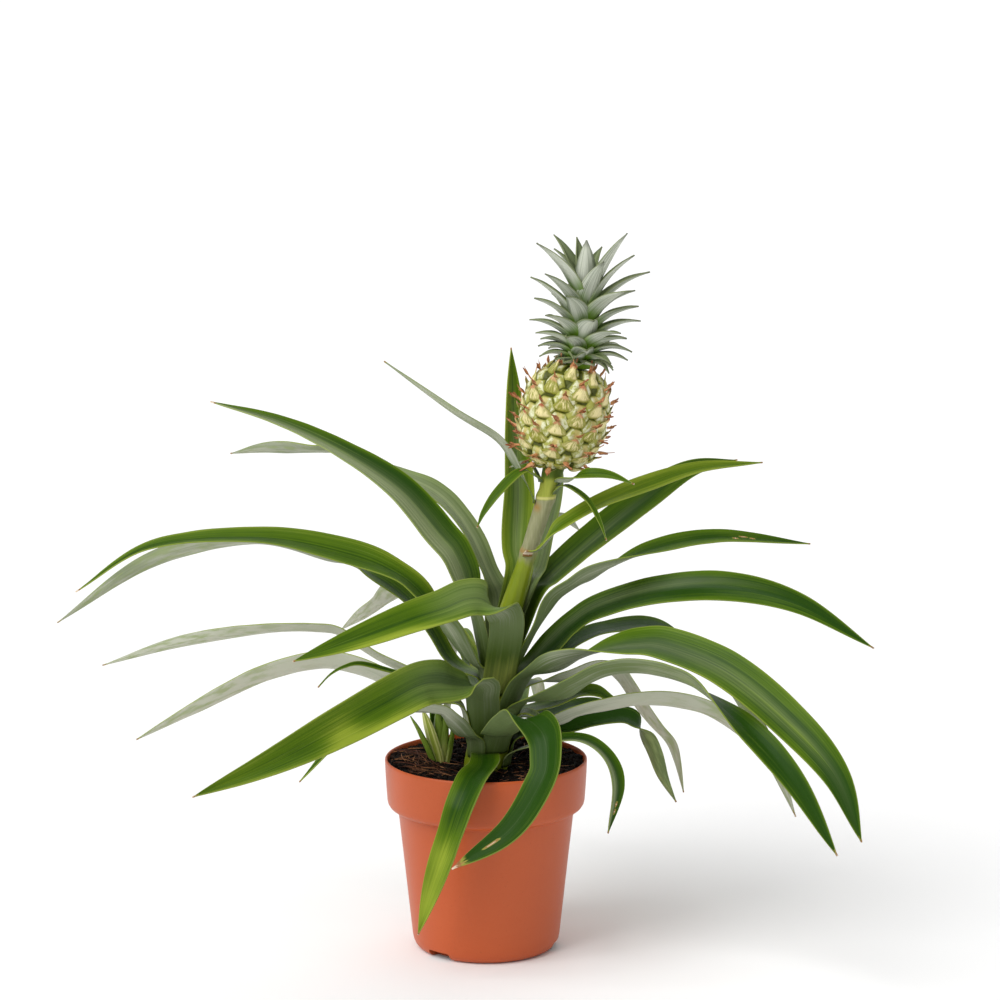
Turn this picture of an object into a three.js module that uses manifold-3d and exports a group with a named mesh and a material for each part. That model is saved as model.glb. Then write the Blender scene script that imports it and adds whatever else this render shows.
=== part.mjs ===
// A young pineapple plant with its fruit, standing in a nursery pot.
// Millimetres, +Z up, origin at the centre of the pot's base. +X is the plant's right, -Y its front.
import * as THREE from "three";
import { mergeVertices } from "three/addons/utils/BufferGeometryUtils.js";
import Module from "manifold-3d";

const wasm = await Module();
wasm.setup();

// Driving dimensions

const gap = 0.3; // between pieces that touch on the real plant

const pot = {
  height: 115,
  rimRadius: 60,
  rimHeight: 29,
  bodyTopRadius: 52.3,
  bodyBaseRadius: 44,
  baseFlatRadius: 37,
  wall: 1.8,
  floor: 2.4,
  sides: 32,
  foot: [[3.2, 1], [1, 3.6], [0, 8]], // inset and height
  shoulder: [[0, -4], [1.2, -1.4], [5.9, 0.8], [6.6, 2.6]], // outset, and height from the rim's foot
  lip: [[0, -1.2], [0.5, 0], [1.4, 0], [1.8, -1]], // inset, and height from the top
  insideRimFoot: 3,
  insideFoot: { height: 9, narrowing: 2 },
};
const notch = { width: 16, height: 5, inner: 35, outer: 47, turns: [229, 349, 109] };

const soil = {
  level: 109.5,
  edgeRise: 4, // towards the rim
  edgeFrom: 20,
  edgeTo: 52,
  heap: { x: -42, y: 2, rise: 2.5, spread: 15 },
  roughness: 0.8,
  sides: 24,
  edgeHeight: 103,
  rings: [56.4, 44, 30, 15],
  baseInset: 0.3, // of the narrowest ring, at the pot's floor
  rimFootInset: 1.2,
  edgeOutset: 0.8,
};

// The stem, which runs on as the fruit's stalk: height, centre x and radius
const stemStations = [
  [84, 0, 9],
  [90, 0, 12.5],
  [110, 0, 13],
  [150, 6, 11],
  [204, 14.5, 6.5],
  [234, 23.8, 4.8],
  [238, 25, 5.4],
  [242, 26.2, 4.8],
  [267, 33.8, 5.2],
  [271, 35, 5.9],
  [275, 36.2, 5.2],
  [291, 40, 6.5],
];
const stemSides = 12;
const hole = { clearance: 0.5, top: 122 };

const fruit = {
  base: [39.2, 0, 291.5],
  tilt: 12.5,
  length: 59,
  radius: 23.5,
  squareness: 2.5,
  endRadius: 9,
  sides: 20,
  bands: 10,
  eyes: 65,
  firstTurn: 262,
  eyeTurn: -48, // degrees round the axis from one eye to the next
  eyeRadius: 5.9,
  eyeRise: 2.6,
  tipRise: 6.2,
  tipClimb: 3.4,
  endEyeSize: 0.8,
  eyeNeck: { reach: 0.6, sink: 1.2 },
  eyesFrom: 0.05, // of the length
  eyesTo: 0.93,
};

const crown = {
  root: [54.6, 0, 351.4],
  tilt: 4,
  core: { from: -3.5, to: 42, baseRadius: 8, topRadius: 3, sides: 10 },
  rootDepth: 0.6, // of the core's radius
  thickness: 0.9,
  rows: 3,
  shortRows: 2, // of a leaf whose tip is lower than shortTip
  shortTip: 44,
};
// The crown's leaves: turn, the root's height, the tip's distance out and height, width and bow
const crownLeaves = [
  [140, 37, 26, 71, 13, 3.5], [118, 39, 14, 71, 11, 1.5], [262, 34, 12, 71.5, 16, 2],
  [62, 38, 18, 66, 9.5, 4], [333, 33, 24, 77, 15.5, 2.5], [356, 28, 27, 64, 13, 4],
  [296, 26, 20, 60.5, 16, 4], [5, 25, 37, 54.5, 13, 5], [26, 22, 33, 42, 13, 4],
  [316, 19, 33, 45, 16, 5], [350, 16, 32, 35, 13, 4], [6, 12, 34, 25.5, 12, 4], [344, 7, 27, 16, 12, 3],
  [321, 8, 28, 20, 13, 3.5], [0, 4, 30, 7.5, 9.5, 4], [352, 1.5, 28, 3, 8.5, 3.5],
  [312, 1, 26, 2.5, 9.5, 3], [329, 0, 20, -4.5, 7, 3], [350, -0.5, 20, -3.5, 7, 3],
  [12, -0.5, 20, -3, 7, 3], [204, 34, 33, 68, 15.5, 4], [168, 37, 20, 64, 12, 3.5],
  [214, 26, 29, 51, 15, 3.5], [180, 22, 32, 47, 13, 3.5], [190, 18, 29.5, 35.5, 13, 3.5],
  [246, 17, 27, 40, 16, 5], [220, 12, 29, 27.5, 14.5, 3.5], [183, 10, 31, 22.5, 12, 4],
  [192, 7, 27.5, 15.5, 11, 3.5], [170, 6, 24, 11, 9.5, 3], [243, 5, 21, 15.5, 13, 3.5],
  [186, 3.5, 25, 7.5, 9.5, 3.5], [158, 3, 20, 5.5, 9.5, 3], [194, 1, 24.5, 2, 8.5, 3.5],
  [283, 9, 25, 27, 16, 5], [278, 1, 21, 9, 14.5, 3], [258, 0.5, 22, 4, 12, 3],
  [95, 32, 22, 66, 13, 3.5], [78, 26, 28, 53, 14.5, 3], [108, 24, 28, 50, 14.5, 3],
  [50, 19, 31, 38, 13, 3.5], [128, 16, 30, 36, 13, 3.5], [86, 14, 31, 32, 14.5, 3.5],
  [62, 8, 29, 20, 12, 3.5], [112, 8, 28, 20, 12, 3.5], [34, 4, 28, 9, 9.5, 3.5],
  [84, 3, 27, 9, 11, 3.5], [138, 2, 25, 6, 9.5, 3.5], [60, 0.5, 24, 2, 8.5, 3], [208, 0, 17, 1, 8.5, 1],
  [232, -0.5, 16, 0, 9.5, 1], [266, -0.5, 17, -0.5, 9.5, 1], [298, -0.5, 17, 0, 9.5, 1],
  [336, -0.5, 16, 0.5, 9.5, 1], [18, 0, 17, 1, 9.5, 1], [110, 0, 17, 1, 9.5, 1],
  [160, 0, 16, 1, 9.5, 1],
];

const shoot = { x: -27, y: 8, base: 90, waist: 111, top: 116, radius: 4.2, topRadius: 2.4, sides: 10 };
const shootThickness = 1;
const shootRows = 2;
const shootTaper = 5;
const blade = { neck: 0.8, fullWidthAt: 0.35, taper: 2.2, tipHalfWidth: 0.4 };
// The side shoot's blades: root and tip as distance out and height
const shootBlades = [
  { turn: 217, root: [3.5, 112], tip: [22, 141], bow: 1, width: 6 },
  { turn: 213, root: [1, 112], tip: [12.5, 144], bow: -0.5, width: 10.5 },
  { turn: 250, root: [1, 113], tip: [5.5, 144], bow: -0.5, width: 7 },
  { turn: 320, root: [1, 112], tip: [4.5, 142], bow: -1, width: 8 },
  { turn: 352, root: [3, 112], tip: [8, 138], bow: -1, width: 6 },
  { turn: 140, root: [1, 113], tip: [8, 144], bow: -0.5, width: 7 },
  { turn: 75, root: [1, 113], tip: [7, 140], bow: -0.5, width: 8 },
];

const leafThickness = 0.85;
const sheathSlope = 0.42; // how fast a sheath leaves the stem, in mm per mm of height
const sheathStandOff = 1; // from the stem's surface to the middle of a sheath's wall
const sheathWrap = 1.15; // radians that a sheath reaches round the stem to each side, at most
const sheathBlend = 26; // length over which a sheath opens into the blade, unless the leaf says otherwise
const openingFrom = 0.8; // of the sheath's length
const turnedBy = 0.3; // share of the blade by which it faces the way its tip lies
const neckWidth = 0.85; // of the blade's full width, unless the leaf says otherwise
const fullWidthAt = 0.35; // of the blade's length
const tipHalfWidth = 0.6;
const finePerPoint = 12;
const bladeRows = { fewest: 4, most: 9 };
const rowEvery = { length: 75, bend: 0.5, twist: 1 }; // mm and radians that ask for one row
const across = [-1, -0.5, 0, 0.5, 1];

// The leaves, from the lowest root to the highest. A leaf leaves the stem at the height up and
// towards turn (0 is +X, 270 the front), clasps it over rise, then runs through its points,
// each x, y, z and the blade's roll in degrees. curl is half the blade's arc in radians, cup the
// same near its root, and a high taper keeps the blade wide for longer.
const leaves = [
  {
    name: "leaf_01", width: 20, taper: 4, turn: 262, up: 111, rise: 10, curl: 0.45,
    points: [[-1, -40, 122, 4], [-8, -63, 119, -2], [-15, -75, 106, -2], [-21, -76, 88, 2],
      [-30, -75, 60, -10], [-39, -72, 28, -10]],
  },
  {
    name: "leaf_02", width: 12, taper: 4, turn: 332, up: 111, rise: 9, curl: 0.45,
    points: [[39, -24, 132, 20], [58, -35, 135, 6], [72, -44, 126, 2], [77, -48, 109, 26],
      [71, -50, 82, 26]],
  },
  {
    name: "leaf_03", width: 18, taper: 3, turn: 106, up: 111, rise: 14, curl: 0.5,
    points: [[0, 44, 124, -44], [0, 90, 132, 58], [1, 130, 123, -56], [1, 165, 90, 54],
      [0, 180, 49, 54]],
  },
  {
    name: "leaf_04", width: 15, taper: 3, turn: 238, up: 117, rise: 12, curl: 0.5,
    points: [[-12, -21, 134, 46], [-20, -27, 146, 26], [-28, -28, 151, 32], [-50, -28, 151, 34],
      [-79, -30, 140, -12], [-109, -32, 108, -12]],
  },
  {
    name: "leaf_05", width: 18, taper: 3, turn: 8, up: 117, rise: 11, curl: 0.5,
    points: [[44, 5, 132, 16], [62, 6, 137, 18], [80, 8, 139, 24], [90, 9, 135, 28],
      [96, 10, 126, -32], [101, 10, 115, -48], [106, 11, 100, -64], [114, 12, 84, -64]],
  },
  {
    name: "leaf_06", width: 16, taper: 3, turn: 84, up: 117, rise: 16, curl: 0.5,
    points: [[16, 44, 132, -12], [21, 90, 138, -20], [30, 135, 132, 24], [36, 180, 96, 34],
      [39, 196, 56, 34]],
  },
  {
    name: "leaf_07", width: 21, taper: 5, turn: 284, up: 120, rise: 14, curl: 0.45,
    points: [[6, -28, 136, -12], [14, -42, 147, -8], [23, -58, 155, 0], [32, -74, 150, 8],
      [34, -84, 139, 14], [31, -92, 125, 16], [13, -96, 97, 10], [-19, -95, 74, 0]],
  },
  {
    name: "leaf_08", width: 11, taper: 3, turn: 55, up: 121, rise: 14, curl: 0.5,
    points: [[36, 44, 130, 22], [52, 65, 131, 26], [69, 84, 128, 48], [85, 100, 118, 88],
      [94, 107, 110, 88]],
  },
  {
    name: "leaf_09", width: 22, taper: 3, turn: 186, up: 124, rise: 24, curl: 0.5,
    points: [[-36, -3, 150, 36], [-60, 0, 164, 42], [-80, 3, 171, 44], [-101, 7, 172, 40],
      [-135, 17, 161, 38], [-172, 28, 140, 42], [-212, 38, 116, 42]],
  },
  {
    name: "leaf_10", width: 16, taper: 4, turn: 344, up: 128, rise: 16, curl: 0.5,
    points: [[38, -9, 139, -38], [52, -11, 145, -34], [67, -12, 149, -40], [90, -15, 154, -42],
      [114, -15, 153, -48], [138, -12, 144, -46], [165, -8, 121, -56], [187, -3, 91, -56]],
  },
  {
    name: "leaf_11", width: 27, taper: 3, turn: 244, up: 129, rise: 27, curl: 0.45, blend: 14,
    points: [[-4, -30, 167, 16], [-14, -34, 169, -36], [-26, -48, 172, -78], [-37, -60, 173, -68],
      [-53, -74, 168, -62], [-79, -95, 158, -62], [-118, -130, 145, -46], [-158, -165, 135, -46]],
  },
  {
    name: "leaf_12", width: 16, taper: 3, turn: 36, up: 131, rise: 8, curl: 0.5,
    points: [[38, 24, 142, 2], [54, 34, 146, 4], [67, 44, 145, 36], [76, 50, 138, 52],
      [88, 58, 128, 52]],
  },
  {
    name: "leaf_13", width: 18, taper: 6, turn: 316, up: 132, rise: 18, curl: 0.5,
    points: [[41, -32, 161, -30], [54, -42, 171, -22], [70, -54, 181, -30], [88, -66, 185, -38],
      [106, -78, 184, -42], [122, -87, 178, -36], [147, -106, 159, 24], [172, -125, 132, 56],
      [194, -141, 95, 56]],
  },
  {
    name: "leaf_14", width: 18, taper: 3, turn: 113, up: 133, rise: 18, curl: 0.5,
    points: [[-5, 42, 152, 28], [-14, 85, 167, 26], [-21, 130, 158, -46], [-25, 165, 117, -48],
      [-28, 180, 67, -48]],
  },
  {
    name: "leaf_15", width: 15, taper: 4, turn: 38, up: 140, rise: 16, curl: 0.5,
    points: [[49, 33, 157, -44], [64, 45, 159, -46], [77, 56, 156, -22], [86, 66, 145, -6],
      [95, 77, 129, -4], [105, 89, 113, -6], [115, 97, 100, -8], [120, 102, 85, -2],
      [124, 105, 65, -2]],
  },
  {
    name: "leaf_16", width: 4, taper: 3, turn: 202, up: 142, rise: 12, curl: 0.4,
    points: [[-16, -7, 157, -40], [-33, -14, 165, -32], [-53, -23, 172, -34], [-72, -32, 179, -72],
      [-82, -36, 178, -62], [-90, -39, 174, -50], [-97, -42, 167, -50]],
  },
  {
    name: "leaf_17", width: 15, taper: 3, turn: 163, up: 143, rise: 9, curl: 0.5,
    points: [[-39, 15, 161, 36], [-61, 24, 169, 38], [-74, 29, 176, 40], [-87, 36, 183, 38],
      [-102, 44, 184, 30], [-138, 64, 179, 34], [-191, 96, 164, 60], [-243, 127, 142, 60]],
  },
  {
    name: "leaf_18", width: 25, taper: 6, turn: 319, up: 144, rise: 22, curl: 0.45, cup: 1.1,
    points: [[38, -23, 178, -26], [53, -35, 188, -10], [68, -45, 194, 12], [84, -57, 198, 28],
      [102, -68, 199, 32], [135, -88, 189, 36], [167, -107, 166, 44], [194, -125, 137, 58],
      [208, -135, 101, 58]],
  },
  {
    name: "leaf_19", width: 18, taper: 4, turn: 38, up: 149, rise: 14, curl: 0.5,
    points: [[35, 21, 168, 4], [53, 35, 179, 4], [75, 52, 183, 10], [110, 80, 177, 24],
      [143, 105, 147, 4], [168, 125, 110, -14], [186, 139, 70, -54], [199, 149, 37, -54]],
  },
  {
    name: "leaf_20", width: 17, taper: 4, turn: 116, up: 151, rise: 10, curl: 0.5,
    points: [[-4, 24, 166, 22], [-16, 44, 180, 20], [-36, 76, 193, 6], [-55, 104, 196, 42],
      [-67, 125, 184, 16], [-80, 145, 171, 30], [-94, 170, 156, 30]],
  },
  {
    name: "leaf_21", width: 24, taper: 3, turn: 267, up: 155, rise: 42, curl: 0.4, blend: 14,
    points: [[10, -28, 209, 20], [1, -35, 218, -58], [-10, -41, 220, -54], [-24, -47, 216, -44],
      [-43, -54, 211, -44], [-71, -64, 202, -48], [-109, -76, 190, -48]],
  },
  {
    name: "leaf_22", width: 20, taper: 3, turn: 171, up: 156, rise: 8, curl: 0.5,
    points: [[-15, 6, 168, -8], [-22, 8, 175, -10], [-31, 11, 190, -10], [-44, 16, 207, -6],
      [-66, 24, 222, -8], [-93, 33, 232, 46], [-143, 52, 238, 38], [-206, 78, 219, 50],
      [-268, 106, 174, 50]],
  },
  {
    name: "leaf_23", width: 23, taper: 3, turn: 24, up: 158, rise: 8, curl: 0.5,
    points: [[28, 8, 171, 16], [39, 10, 183, 22], [51, 9, 195, 26], [67, 4, 206, 32],
      [102, -7, 218, 40], [142, -19, 222, 60], [182, -31, 214, 74], [224, -42, 190, 74]],
  },
  {
    name: "leaf_24", width: 20, taper: 3, turn: 203, up: 161, rise: 8, curl: 0.5,
    points: [[-9, -8, 175, 22], [-15, -10, 187, 24], [-22, -12, 199, 28], [-34, -12, 215, -26],
      [-50, -10, 229, -26], [-79, -6, 240, -42], [-132, -5, 250, -24], [-197, 0, 243, -22],
      [-242, 4, 214, -22]],
  },
  {
    name: "leaf_25", width: 25, taper: 3, turn: 202, up: 166, rise: 34, curl: 0.55,
    points: [[-10, -4, 221, -52], [-17, -3, 239, -44], [-27, -1, 251, -36], [-50, 3, 277, -28],
      [-83, 10, 298, -18], [-121, 19, 314, -16], [-163, 28, 324, -16]],
  },
  {
    name: "leaf_26", width: 16, taper: 3, turn: 338, up: 171, rise: 22, curl: 0.5, blend: 16,
    points: [[38, -9, 212, -30], [50, -11, 222, -36], [64, -11, 230, -42], [96, -3, 242, 18],
      [138, 9, 247, 36], [193, 25, 239, 36]],
  },
  {
    name: "leaf_27", width: 23, taper: 3, turn: 112, up: 175, rise: 30, curl: 0.45,
    points: [[5, 18, 217, 36], [-1, 22, 232, 26], [-7, 29, 244, 16], [-16, 36, 256, 6],
      [-28, 43, 267, 0], [-45, 50, 275, -2], [-83, 76, 287, 28], [-103, 92, 286, 22],
      [-135, 117, 283, 60], [-161, 137, 276, 60]],
  },
  {
    name: "leaf_28", width: 23, taper: 3, turn: 58, up: 181, rise: 30, curl: 0.45,
    points: [[35, 27, 217, 0], [47, 41, 226, 10], [63, 55, 237, 18], [94, 80, 256, 38],
      [126, 102, 272, 66], [156, 117, 275, 66]],
  },
  {
    name: "leaf_29", width: 15, taper: 3, turn: 91, up: 187, rise: 30, curl: 0.45,
    points: [[17, 47, 216, -38], [25, 76, 229, -24], [37, 106, 236, -78], [49, 136, 235, -48],
      [59, 158, 223, -48]],
  },
  {
    name: "leaf_30", width: 12, taper: 3, turn: 64, up: 193, rise: 25, curl: 0.5,
    points: [[32, 37, 224, -22], [37, 52, 242, -18], [42, 60, 259, 6], [45, 64, 271, 14],
      [46, 66, 280, 14]],
  },
  {
    name: "leaf_31", width: 20, taper: 3, turn: 95, up: 199, rise: 26, curl: 0.5,
    points: [[18, 22, 239, -6], [20, 30, 271, 12], [18, 37, 306, 20], [15, 46, 354, 20]],
  },
  {
    name: "stalk_leaf_1", width: 13, taper: 3, turn: 266, up: 237, rise: 3, curl: 0.5, cup: 0.9, blend: 5, neck: 0.42,
    points: [[32, -13, 245, 72], [40, -12, 255, 70], [49, -9, 261, 34], [67, -3, 270, 24],
      [96, 9, 279, 50], [127, 22, 286, 46], [165, 38, 286, 46]],
  },
  {
    name: "stalk_leaf_2", width: 5.5, taper: 3, turn: 186, up: 268, rise: 5, curl: 0.4,
    points: [[18, -2, 291, 56], [7, -3, 307, 56], [-18, -4, 323, 58], [-59, -3, 352, 58]],
  },
  {
    name: "bract_3", width: 4, taper: 3, turn: 310, up: 274, rise: 2, curl: 0.4,
    points: [[47, -9, 280, 24], [59, -16, 273, 26], [66, -20, 261, 50], [70, -24, 250, 50]],
  },
  {
    name: "bract_2", width: 8, taper: 3, turn: 330, up: 279, rise: 2, curl: 0.4,
    points: [[44, -17, 284, -38], [57, -33, 291, 48], [71, -38, 291, 68], [85, -42, 286, 68]],
  },
  {
    name: "bract_4", width: 4, taper: 3, turn: 150, up: 280, rise: 2, curl: 0.4,
    points: [[25, 8, 291, 72], [14, 14, 287, 72]],
  },
  {
    name: "bract_1", width: 7, taper: 3, turn: 205, up: 281, rise: 2, curl: 0.4,
    points: [[21, -11, 289, -22], [8, -19, 279, -34], [-1, -24, 267, -50], [-5, -27, 258, -50]],
  },
];

const degrees = Math.PI / 180;
const { clamp, lerp, smoothstep } = THREE.MathUtils;
const vector = (x, y, z) => new THREE.Vector3(x, y, z);
const upward = vector(0, 0, 1);

// A repeatable draw between -1 and 1 from a whole number
function draw(seed) {
  const wave = Math.sin(seed * 12.9898 + 4.1414) * 43758.5453;
  return 2 * (wave - Math.floor(wave)) - 1;
}

function colour(hex, roughness) {
  return new THREE.MeshStandardMaterial({ color: hex, roughness, metalness: 0 });
}

const materials = {
  pot: colour(0xbf5a35, 0.5),
  soil: colour(0x2e1f16, 0.95),
  stem: colour(0xa9b08a, 0.6),
  leaf: colour(0x4d7a2a, 0.45),
  bract: colour(0x6f9440, 0.5),
  fruit: colour(0xa9a552, 0.55),
  crown: colour(0x6d9475, 0.5),
  shoot: colour(0x8fae58, 0.5),
};

const plant = new THREE.Group();

function addPiece(name, geometry, material) {
  const mesh = new THREE.Mesh(geometry, material);
  mesh.name = name;
  plant.add(mesh);
  return mesh;
}

// Solids

function geometryOf(points, faces) {
  const geometry = new THREE.BufferGeometry().setFromPoints(points);
  geometry.setIndex(faces.flat());
  geometry.computeVertexNormals();
  return geometry;
}

function solidOf(geometry) {
  const plain = geometry.index ? geometry.toNonIndexed() : geometry;
  const bare = new THREE.BufferGeometry();
  bare.setAttribute("position", plain.getAttribute("position"));
  const merged = mergeVertices(bare, 1e-4);
  return new wasm.Manifold(new wasm.Mesh({
    numProp: 3,
    vertProperties: merged.attributes.position.array,
    triVerts: new Uint32Array(merged.index.array),
  }));
}

function geometryOfSolid(solid) {
  const { vertProperties, triVerts } = solid.getMesh();
  const geometry = new THREE.BufferGeometry();
  geometry.setAttribute("position", new THREE.BufferAttribute(vertProperties, 3));
  geometry.setIndex(new THREE.BufferAttribute(triVerts, 1));
  geometry.computeVertexNormals();
  return geometry;
}

// The largest body of a solid, without any loose scrap that joining left
function mainBody(solid) {
  return solid.decompose().sort((a, b) => b.volume() - a.volume())[0];
}

// A closed skin over rings of as many points each, ending in a centre point or a given tip
function skin(rings, tip) {
  const sides = rings[0].length;
  const points = rings.flat();
  const centreOf = (ring) => ring
    .reduce((sum, point) => sum.add(point), vector(0, 0, 0))
    .divideScalar(sides);
  const first = points.push(centreOf(rings[0])) - 1;
  const last = points.push(tip ?? centreOf(rings.at(-1))) - 1;
  const faces = [];
  for (let side = 0; side < sides; side++) {
    const next = (side + 1) % sides;
    faces.push([first, next, side]);
    for (let ring = 0; ring + 1 < rings.length; ring++) {
      const low = ring * sides;
      const high = low + sides;
      faces.push([low + side, low + next, high + next]);
      faces.push([low + side, high + next, high + side]);
    }
    const top = (rings.length - 1) * sides;
    faces.push([last, top + side, top + next]);
  }
  return geometryOf(points, faces);
}

// A thin closed slab between two grids of points, split alike on both faces
function slab(upper, lower) {
  const rows = upper.length;
  const columns = upper[0].length;
  const offset = rows * columns;
  const at = (row, column) => row * columns + column;
  const faces = [];
  for (let row = 0; row + 1 < rows; row++) {
    for (let column = 0; column + 1 < columns; column++) {
      const corners = [at(row, column), at(row + 1, column), at(row + 1, column + 1), at(row, column + 1)];
      const [a, b, c, d] = corners;
      faces.push([a, b, c], [a, c, d]);
      faces.push([c, b, a].map((i) => i + offset), [d, c, a].map((i) => i + offset));
    }
  }
  const rim = [];
  for (let column = 0; column + 1 < columns; column++) rim.push(at(0, column));
  for (let row = 0; row + 1 < rows; row++) rim.push(at(row, columns - 1));
  for (let column = columns - 1; column > 0; column--) rim.push(at(rows - 1, column));
  for (let row = rows - 1; row > 0; row--) rim.push(at(row, 0));
  rim.forEach((here, i) => {
    const next = rim[(i + 1) % rim.length];
    faces.push([here, next, next + offset], [here, next + offset, here + offset]);
  });
  return geometryOf([...upper.flat(), ...lower.flat()], faces);
}

// Stem

function stemAt(height) {
  const above = clamp(stemStations.findIndex(([z]) => z > height), 1, stemStations.length - 1);
  const [lowZ, lowX, lowRadius] = stemStations[above - 1];
  const [highZ, highX, highRadius] = stemStations[above];
  const share = (height - lowZ) / (highZ - lowZ);
  return { x: lerp(lowX, highX, share), radius: lerp(lowRadius, highRadius, share) };
}

function stemGeometry() {
  const rings = stemStations.map(([z, x, radius], i) => {
    const [lowZ, lowX] = stemStations[Math.max(i - 1, 0)];
    const [highZ, highX] = stemStations[Math.min(i + 1, stemStations.length - 1)];
    const tilt = Math.atan2(highX - lowX, highZ - lowZ);
    return Array.from({ length: stemSides }, (_, side) => {
      const turn = (side / stemSides) * 2 * Math.PI;
      const out = radius * Math.cos(turn);
      return vector(x + out * Math.cos(tilt), radius * Math.sin(turn), z - out * Math.sin(tilt));
    });
  });
  return skin(rings);
}

// Leaves

function pathPoint(path, along) {
  const i = Math.min(Math.floor(along), path.length - 2);
  const t = along - i;
  const b = path[i];
  const c = path[i + 1];
  const a = path[i - 1] ?? b.map((value, k) => 2 * value - c[k]);
  const d = path[i + 2] ?? c.map((value, k) => 2 * value - b[k]);
  return b.map((_, k) => 0.5 * (2 * b[k] + (c[k] - a[k]) * t
    + (2 * a[k] - 5 * b[k] + 4 * c[k] - d[k]) * t ** 2
    + (3 * b[k] - a[k] - 3 * c[k] + d[k]) * t ** 3));
}

function sheathPoint(leaf, lift) {
  const z = leaf.up + lift;
  const { x, radius } = stemAt(z);
  const out = radius + sheathStandOff + sheathSlope * lift;
  const turn = leaf.turn * degrees;
  return [x + out * Math.cos(turn), out * Math.sin(turn), z, 0];
}

// Rows along a leaf, closer together where it bends or twists
function leafStations(leaf) {
  const path = [sheathPoint(leaf, 0), sheathPoint(leaf, leaf.rise), ...leaf.points];
  const fine = [];
  for (let i = 0; i <= (path.length - 1) * finePerPoint; i++) {
    const [x, y, z, roll] = pathPoint(path, i / finePerPoint);
    fine.push({ place: vector(x, y, z), roll: roll * degrees, run: 0, need: 0 });
  }
  fine.forEach((station, i) => {
    const next = fine[Math.min(i + 1, fine.length - 1)];
    const before = fine[Math.max(i - 1, 0)];
    station.heading = next.place.clone().sub(before.place).normalize();
  });
  for (let i = 1; i < fine.length; i++) {
    const [before, here] = [fine[i - 1], fine[i]];
    const step = here.place.distanceTo(before.place);
    const bend = here.heading.angleTo(before.heading);
    here.run = before.run + step;
    here.need = before.need + step / rowEvery.length + bend / rowEvery.bend
      + Math.abs(here.roll - before.roll) / rowEvery.twist;
  }
  const neck = fine[finePerPoint];
  const tip = fine.at(-1);
  const count = clamp(Math.round(tip.need - neck.need), bladeRows.fewest, bladeRows.most);
  const wanted = [0, neck.need / 2];
  for (let row = 0; row <= count; row++) {
    wanted.push(lerp(neck.need, tip.need, row / count));
  }
  const rows = wanted.map((need) => {
    const high = clamp(fine.findIndex((station) => station.need >= need - 1e-9), 1, fine.length - 1);
    const [from, to] = [fine[high - 1], fine[high]];
    const share = clamp((need - from.need) / (to.need - from.need), 0, 1);
    return {
      place: from.place.clone().lerp(to.place, share),
      heading: from.heading.clone().lerp(to.heading, share).normalize(),
      roll: lerp(from.roll, to.roll, share),
      run: lerp(from.run, to.run, share),
    };
  });
  return { rows, neck: neck.run, length: tip.run };
}

function halfWidthAt(leaf, share) {
  const swell = lerp(leaf.neck ?? neckWidth, 1, smoothstep(share, 0, fullWidthAt));
  const blade = (leaf.width / 2) * swell * (1 - share ** leaf.taper);
  return Math.max(blade, tipHalfWidth);
}

// The middle surface of a leaf: wrapped round the stem at the root, an open arc from there on
function leafSurface(leaf) {
  const { rows, neck, length } = leafStations(leaf);
  const rootWay = vector(Math.cos(leaf.turn * degrees), Math.sin(leaf.turn * degrees), 0);
  const tipWay = rows.at(-1).place.clone().sub(rows[2].place).setZ(0).normalize();
  return rows.map(({ place, roll, heading, run }) => {
    const share = clamp((run - neck) / (length - neck), 0, 1);
    const half = halfWidthAt(leaf, share);
    const level = rootWay.clone().lerp(tipWay, smoothstep(share, 0, turnedBy)).setZ(0).normalize();
    const side = upward.clone().cross(level);
    side.addScaledVector(heading, -side.dot(heading)).normalize();
    const face = heading.clone().cross(side);
    const edge = side.clone().multiplyScalar(Math.cos(roll)).addScaledVector(face, Math.sin(roll));
    const hollow = face.clone().multiplyScalar(Math.cos(roll)).addScaledVector(side, -Math.sin(roll));
    const centre = stemAt(place.z).x;
    const radius = Math.hypot(place.x - centre, place.y);
    const turn = Math.atan2(place.y, place.x - centre);
    const opening = smoothstep(run, neck * openingFrom, neck + (leaf.blend ?? sheathBlend));
    const curl = lerp(leaf.cup ?? leaf.curl, leaf.curl, smoothstep(share, 0, fullWidthAt));
    return across.map((u) => {
      const wrap = clamp((u * half) / radius, -sheathWrap, sheathWrap);
      const wrapped = vector(centre + radius * Math.cos(turn + wrap), radius * Math.sin(turn + wrap), place.z);
      const arc = curl * u;
      const open = place.clone()
        .addScaledVector(edge, (half * Math.sin(arc)) / Math.sin(curl))
        .addScaledVector(hollow, (half * (Math.cos(curl) - Math.cos(arc))) / Math.sin(curl));
      return wrapped.lerp(open, opening);
    });
  });
}

function surfaceNormal(grid, row, column) {
  const near = (i, last) => [Math.max(i - 1, 0), Math.min(i + 1, last)];
  const [rowA, rowB] = near(row, grid.length - 1);
  const [columnA, columnB] = near(column, grid[0].length - 1);
  const along = grid[rowB][column].clone().sub(grid[rowA][column]);
  const acrossWay = grid[row][columnB].clone().sub(grid[row][columnA]);
  return along.cross(acrossWay).normalize();
}

function leafGeometry(leaf) {
  const middle = leafSurface(leaf);
  const face = (side) => middle.map((row, i) => row.map((point, j) =>
    point.clone().addScaledVector(surfaceNormal(middle, i, j), (side * leafThickness) / 2)));
  return slab(face(1), face(-1));
}

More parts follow.
